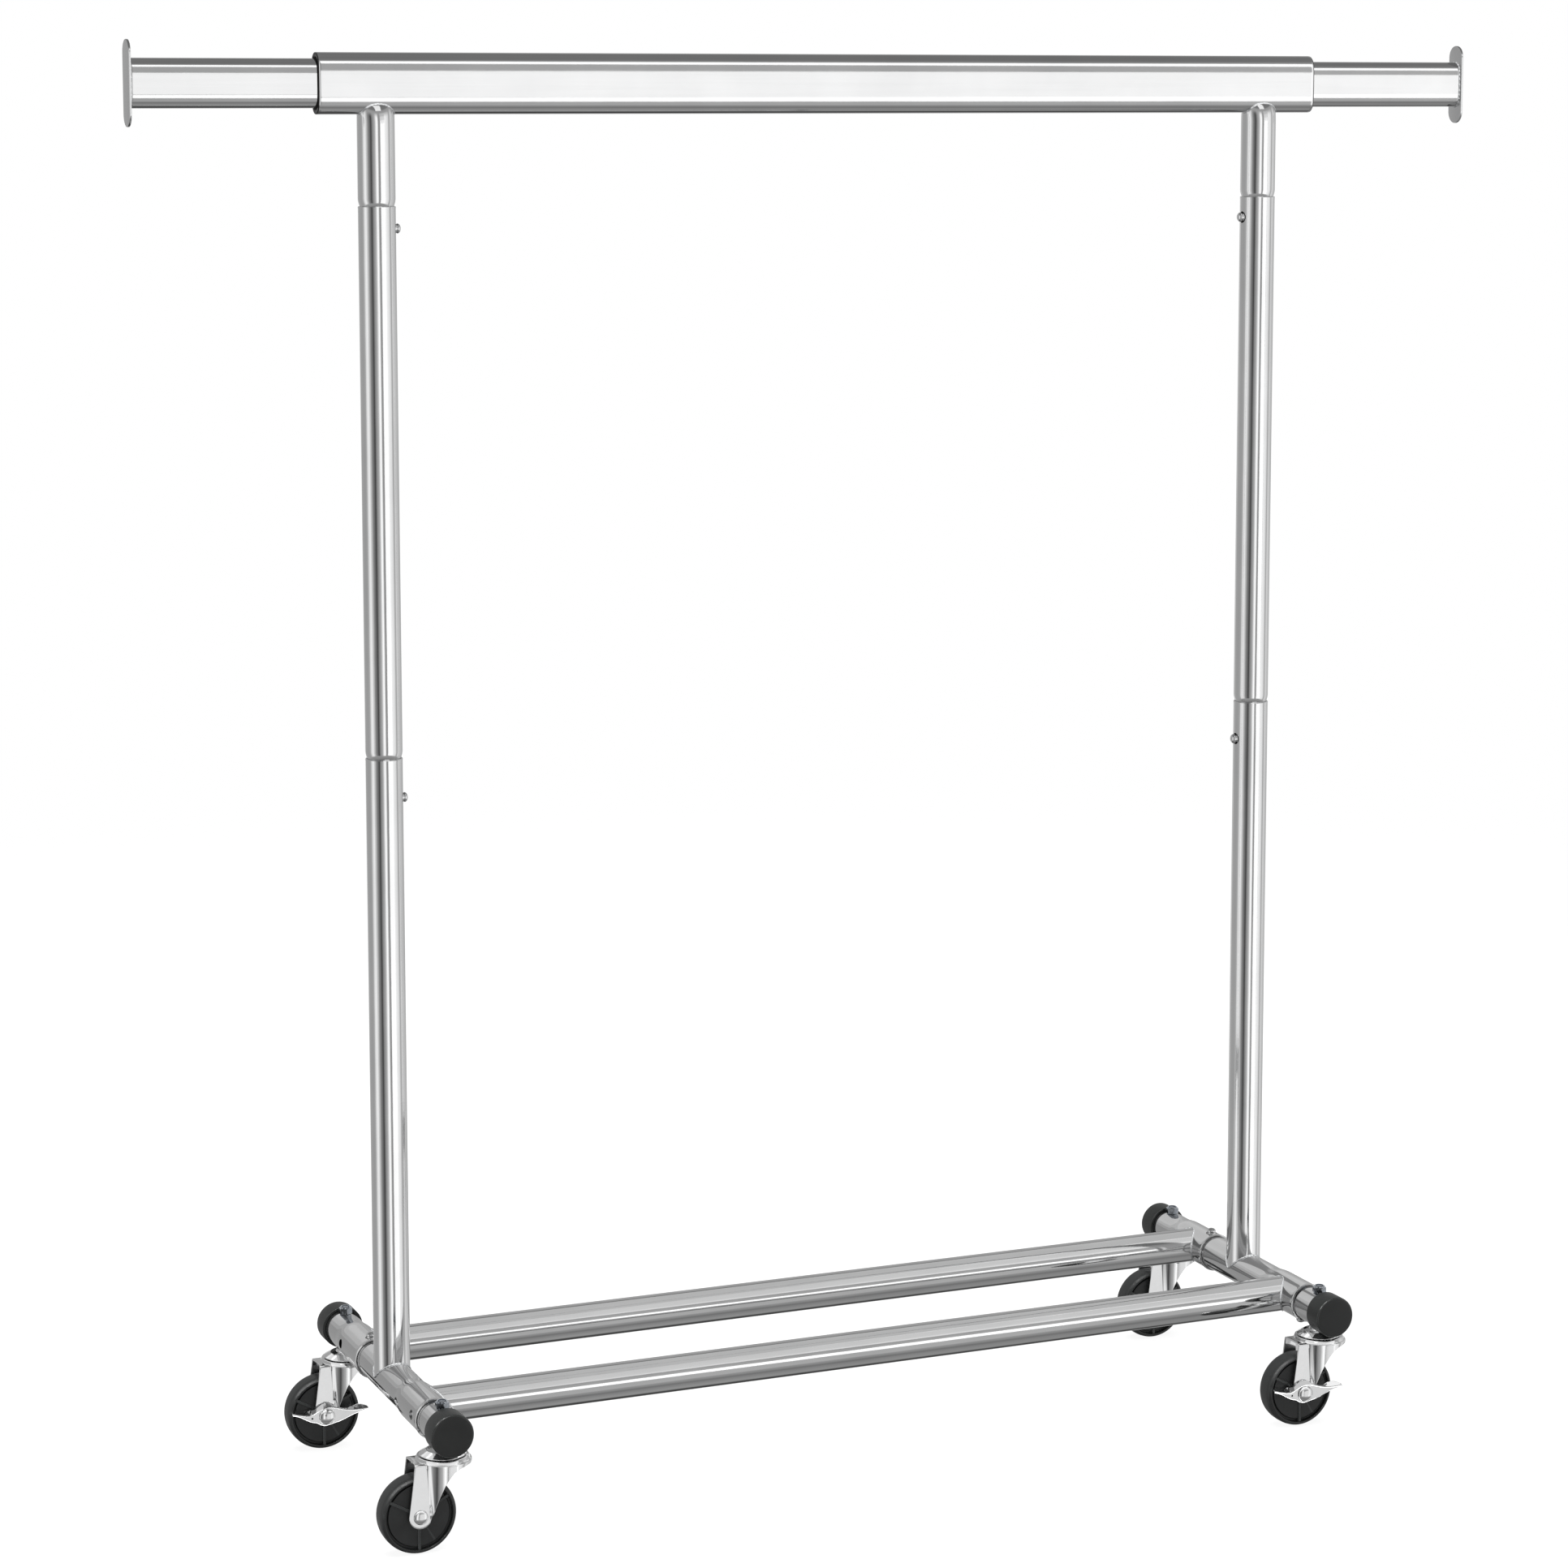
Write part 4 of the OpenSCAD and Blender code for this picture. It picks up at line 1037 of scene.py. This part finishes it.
def curve(x, lo, hi, pts):
    """Smooth function of x through given (x, value) points."""
    m = node(nt, "ShaderNodeMapRange")
    m.inputs["From Min"].default_value, m.inputs["From Max"].default_value = lo, hi
    nt.links.new(x, m.inputs["Value"])
    r = node(nt, "ShaderNodeValToRGB")
    r.color_ramp.interpolation = "EASE"
    e = r.color_ramp.elements
    while len(e) > 1:
        e.remove(e[-1])
    for i, (p, c) in enumerate(pts):
        q = (p - lo) / (hi - lo)
        k = e[0] if i == 0 else e.new(q)
        k.position, k.color = q, (c, c, c, 1)
    nt.links.new(m.outputs["Result"], r.inputs["Fac"])
    return r.outputs["Color"]


# soft panels round the set, seen near the horizon
AZ = [(-180, 0.42), (-152, 0.40), (-135, 0.38), (-121, 0.38), (-109, 0.44), (-98, 0.86), (-87, 1.02), (-76, 0.64), (-65, 0.29), (-56, 0.17), (-46, 0.06), (-38, 0.26), (-30, 0.40), (-24, 0.46), (-18, 0.86), (-9.5, 1.30), (-4.5, 0.80), (0, 0.32), (7, 0.32), (12, 0.42), (37, 0.46), (40, 1.08), (51, 0.94), (62, 0.84), (69, 0.47), (75, 0.45), (82, 0.76), (93, 0.70), (107, 0.58), (140, 0.45), (160, 0.42), (180, 0.42)]
# the room above and below the panels
EL = [(-90, 0.03), (-80, 0.12), (-73, 0.33), (-60, 0.27), (-48, 0.20), (-36, 0.30), (-26, 0.38), (-10, 0.40), (3, 0.42), (10, 0.40), (22, 0.40), (34, 0.36), (41, 0.20), (60, 0.18), (90, 0.20)]
high = fmath("MULTIPLY", step(fmath("ABSOLUTE", az), 135, 120), step(el, 30, 12))
band = fmath("MULTIPLY", step(el, -31, -25), fmath("MAXIMUM", step(el, 5.0, 3.0), high))
amb = curve(el, -90, 90, EL)
# darker low down behind the rack
deep = fmath("MULTIPLY", step(fmath("ABSOLUTE", az), 110, 135), step(el, -36, -46))
amb = mix(nt, fmath("MULTIPLY", deep, 0.75), amb, (0.0, 0.0, 0.0))
ring = curve(az, -180, 180, AZ)
col = mix(nt, band, amb, ring)
bg = node(nt, "ShaderNodeBackground")
nt.links.new(col, bg.inputs["Color"])
white = node(nt, "ShaderNodeBackground")
white.inputs["Color"].default_value = (1, 1, 1, 1)
white.inputs["Strength"].default_value = 1.0
lp = node(nt, "ShaderNodeLightPath")
mx = node(nt, "ShaderNodeMixShader")
nt.links.new(lp.outputs["Is Camera Ray"], mx.inputs[0])
nt.links.new(bg.outputs[0], mx.inputs[1])
nt.links.new(white.outputs[0], mx.inputs[2])
nt.links.new(mx.outputs[0], wout.inputs[0])

GROUPS = {}


def group(name, *starts):
    c = bpy.data.collections.new(name)
    for o in list(sc.objects):
        if o.type == "MESH" and o.name.startswith(starts):
            c.objects.link(o)
    GROUPS[name] = c


def group_with(name, part):
    c = bpy.data.collections.new(name)
    for o in list(sc.objects):
        if o.type == "MESH" and part in o.name:
            c.objects.link(o)
    GROUPS[name] = c


group("lit_posts", "stub_post", "middle_post", "lower_post", "button_")
group("lit_casters", "fork", "axle", "swivel_cups")
group("lit_levers", "brake_lever")
group("lit_nuts", "stem_nuts")
group("lit_oval", "rail_sleeve", "bar_", "end_plate")
group("lit_rails", "base_rail")
group("lit_feet", "foot_")
group("lit_plastic", "cap_", "wheel_")
group_with("lit_welds", "_weld")
DIST = 30.0


def softbox(name, d, right, w, h, add, groups):
    for g in groups:
        ld = bpy.data.lights.new(name, "AREA")
        ld.shape, ld.size, ld.size_y = "RECTANGLE", w, h
        ld.energy = add * math.pi * w * h
        lo = bpy.data.objects.new(name + "_" + g, ld)
        sc.collection.objects.link(lo)
        lo.location = Vector((0, 0, 0.8)) + d * DIST
        lo.rotation_euler = Matrix((right, d.cross(right), d)).transposed().to_euler()
        lo.visible_diffuse = False
        lo.light_linking.receiver_collection = GROUPS[g]


def panel(name, az0, az1, el0, el1, add, *groups):
    """Softbox far out in a direction, seen only in the chrome of its groups.
    add is its brightness."""
    a, e = rad((az0 + az1) / 2), rad((el0 + el1) / 2)
    d = Vector((math.sin(a) * math.cos(e), -math.cos(a) * math.cos(e), math.sin(e)))
    softbox(name, d, Vector((math.cos(a), math.sin(a), 0)), 2 * DIST * math.tan(rad(az1 - az0) / 2) * math.cos(e), 2 * DIST * math.tan(rad(el1 - el0) / 2), add, groups)


def strip(name, e0, e1, add, *groups, side=0.38, wide=0.75):
    """Softbox that runs along X: e0 and e1 are its angles above the front
    horizon in the plane square to the rails."""
    e = rad((e0 + e1) / 2)
    c = math.sqrt(1 - side * side)
    d = Vector((side, -c * math.cos(e), c * math.sin(e)))
    up = Vector((0, math.sin(e), math.cos(e)))
    right = up.cross(d).normalized()
    softbox(name, d, right, DIST * wide, 2 * DIST * c * math.tan(rad(e1 - e0) / 2), add, groups)


panel("key", 9, 38, -27, 5, 0.80, "lit_posts")
panel("key_casters", 2, 40, -30, 5, 0.42, "lit_casters")
panel("back_right", 129, 171, -29, 4, 0.44, "lit_casters")
panel("back_mid", 171, 191, -29, 4, 0.20, "lit_posts", "lit_casters")
panel("floor_casters", 62, 152, -72, -29, 0.42, "lit_casters")
strip("oval_flat", -5.6, 6.8, 0.66, "lit_oval")
strip("oval_low", -14.0, -5.6, 0.86, "lit_oval")
strip("oval_line", 19.5, 32, 0.86, "lit_oval")
panel("key_fade_1", 9, 38, 5, 11, 0.55, "lit_posts")
panel("key_fade_2", 9, 38, 11, 19, 0.34, "lit_posts")
panel("key_fade_3", 9, 38, 19, 28, 0.16, "lit_posts")
panel("dome", -18, 30, 38, 75, 0.80, "lit_posts")
panel("dome_casters", -90, 50, 28, 78, 0.60, "lit_casters")
softbox("over_casters", Vector((0, 0, 1)), Vector((1, 0, 0)), 50, 50, 0.62, ("lit_casters",))
softbox("over_welds", Vector((0, 0, 1)), Vector((1, 0, 0)), 80, 80, 0.9, ("lit_welds",))
panel("front_welds", -70, 60, 12, 50, 0.7, "lit_welds")
panel("lever_plate", -12, 44, -30, 5, 0.36, "lit_levers")
panel("lever_bend", -40, 60, 6, 24, 3.0, "lit_levers")
panel("lever_flange", -60, 70, 40, 75, 0.52, "lit_levers")
panel("lever_rim", -60, 60, -88, -40, 4.0, "lit_levers")
panel("lever_back", 110, 220, 46, 78, 0.95, "lit_levers")
panel("nut_top", 120, 215, 12, 40, 0.42, "lit_nuts")
panel("nut_front", -30, 50, -28, 30, 0.40, "lit_nuts")
panel("cup", 112, 214, 32, 62, 0.62, "lit_casters")
strip("rail_low", -30, -2.5, 0.03, "lit_rails")
strip("rail_line", -3.5, 13, 0.94, "lit_rails")
strip("rail_top", 33, 72, 0.50, "lit_rails")
strip("rail_over", 72, 132, 0.36, "lit_rails")
panel("foot_low", 110, 250, 4, 62, 0.10, "lit_feet")
panel("foot_mid", 110, 250, 13, 62, 0.13, "lit_feet")
panel("foot_top", 110, 250, 21, 62, 0.13, "lit_feet")
panel("plastic_top", -110, 10, 30, 80, 1.1, "lit_plastic")
panel("plastic_spark_1", -42, -18, 50, 66, 12.0, "lit_plastic")
panel("plastic_spark_2", -68, -48, 28, 44, 9.0, "lit_plastic")



def area(name, loc, look, size, power):
    ld = bpy.data.lights.new(name, "AREA")
    ld.shape, ld.size, ld.size_y, ld.energy = "RECTANGLE", size[0], size[1], power
    lo = bpy.data.objects.new(name, ld)
    sc.collection.objects.link(lo)
    lo.location = loc
    lo.rotation_euler = (Vector(look) - Vector(loc)).to_track_quat("-Z", "Y").to_euler()
    lo.visible_glossy = False


area("top_soft", (0.0, -0.2, 4.2), (0, 0, 0), (5.0, 4.0), 480)
area("front_soft", (-2.6, -4.0, 2.6), (0, 0, 0.6), (2.5, 2.5), 14)

# ------------------------------------------------------------ camera
cd = bpy.data.cameras.new("camera")
cam = bpy.data.objects.new("camera", cd)
sc.collection.objects.link(cam)
cd.sensor_width = 36.0
CAM = dict(C=(-1.6775, -3.8755, 1.4475), yaw=22.636, pitch=6.958, roll=-0.050, f=4901.0, s=-0.125)
cd.lens = CAM["f"] * 36.0 / 1932.0
cd.shift_y = CAM["s"]
yaw, pitch, roll = rad(CAM["yaw"]), rad(CAM["pitch"]), rad(CAM["roll"])
F = Vector((math.sin(yaw) * math.cos(pitch), math.cos(yaw) * math.cos(pitch), -math.sin(pitch)))
Rt = Vector((math.cos(yaw), -math.sin(yaw), 0))
Up = Rt.cross(F)
Rt, Up = Rt * math.cos(roll) + Up * math.sin(roll), Up * math.cos(roll) - Rt * math.sin(roll)
mw = Matrix((Rt, Up, -F)).transposed().to_4x4()
mw.translation = Vector(CAM["C"])
cam.matrix_world = mw
cd.clip_start, cd.clip_end = 0.05, 60
sc.camera = cam
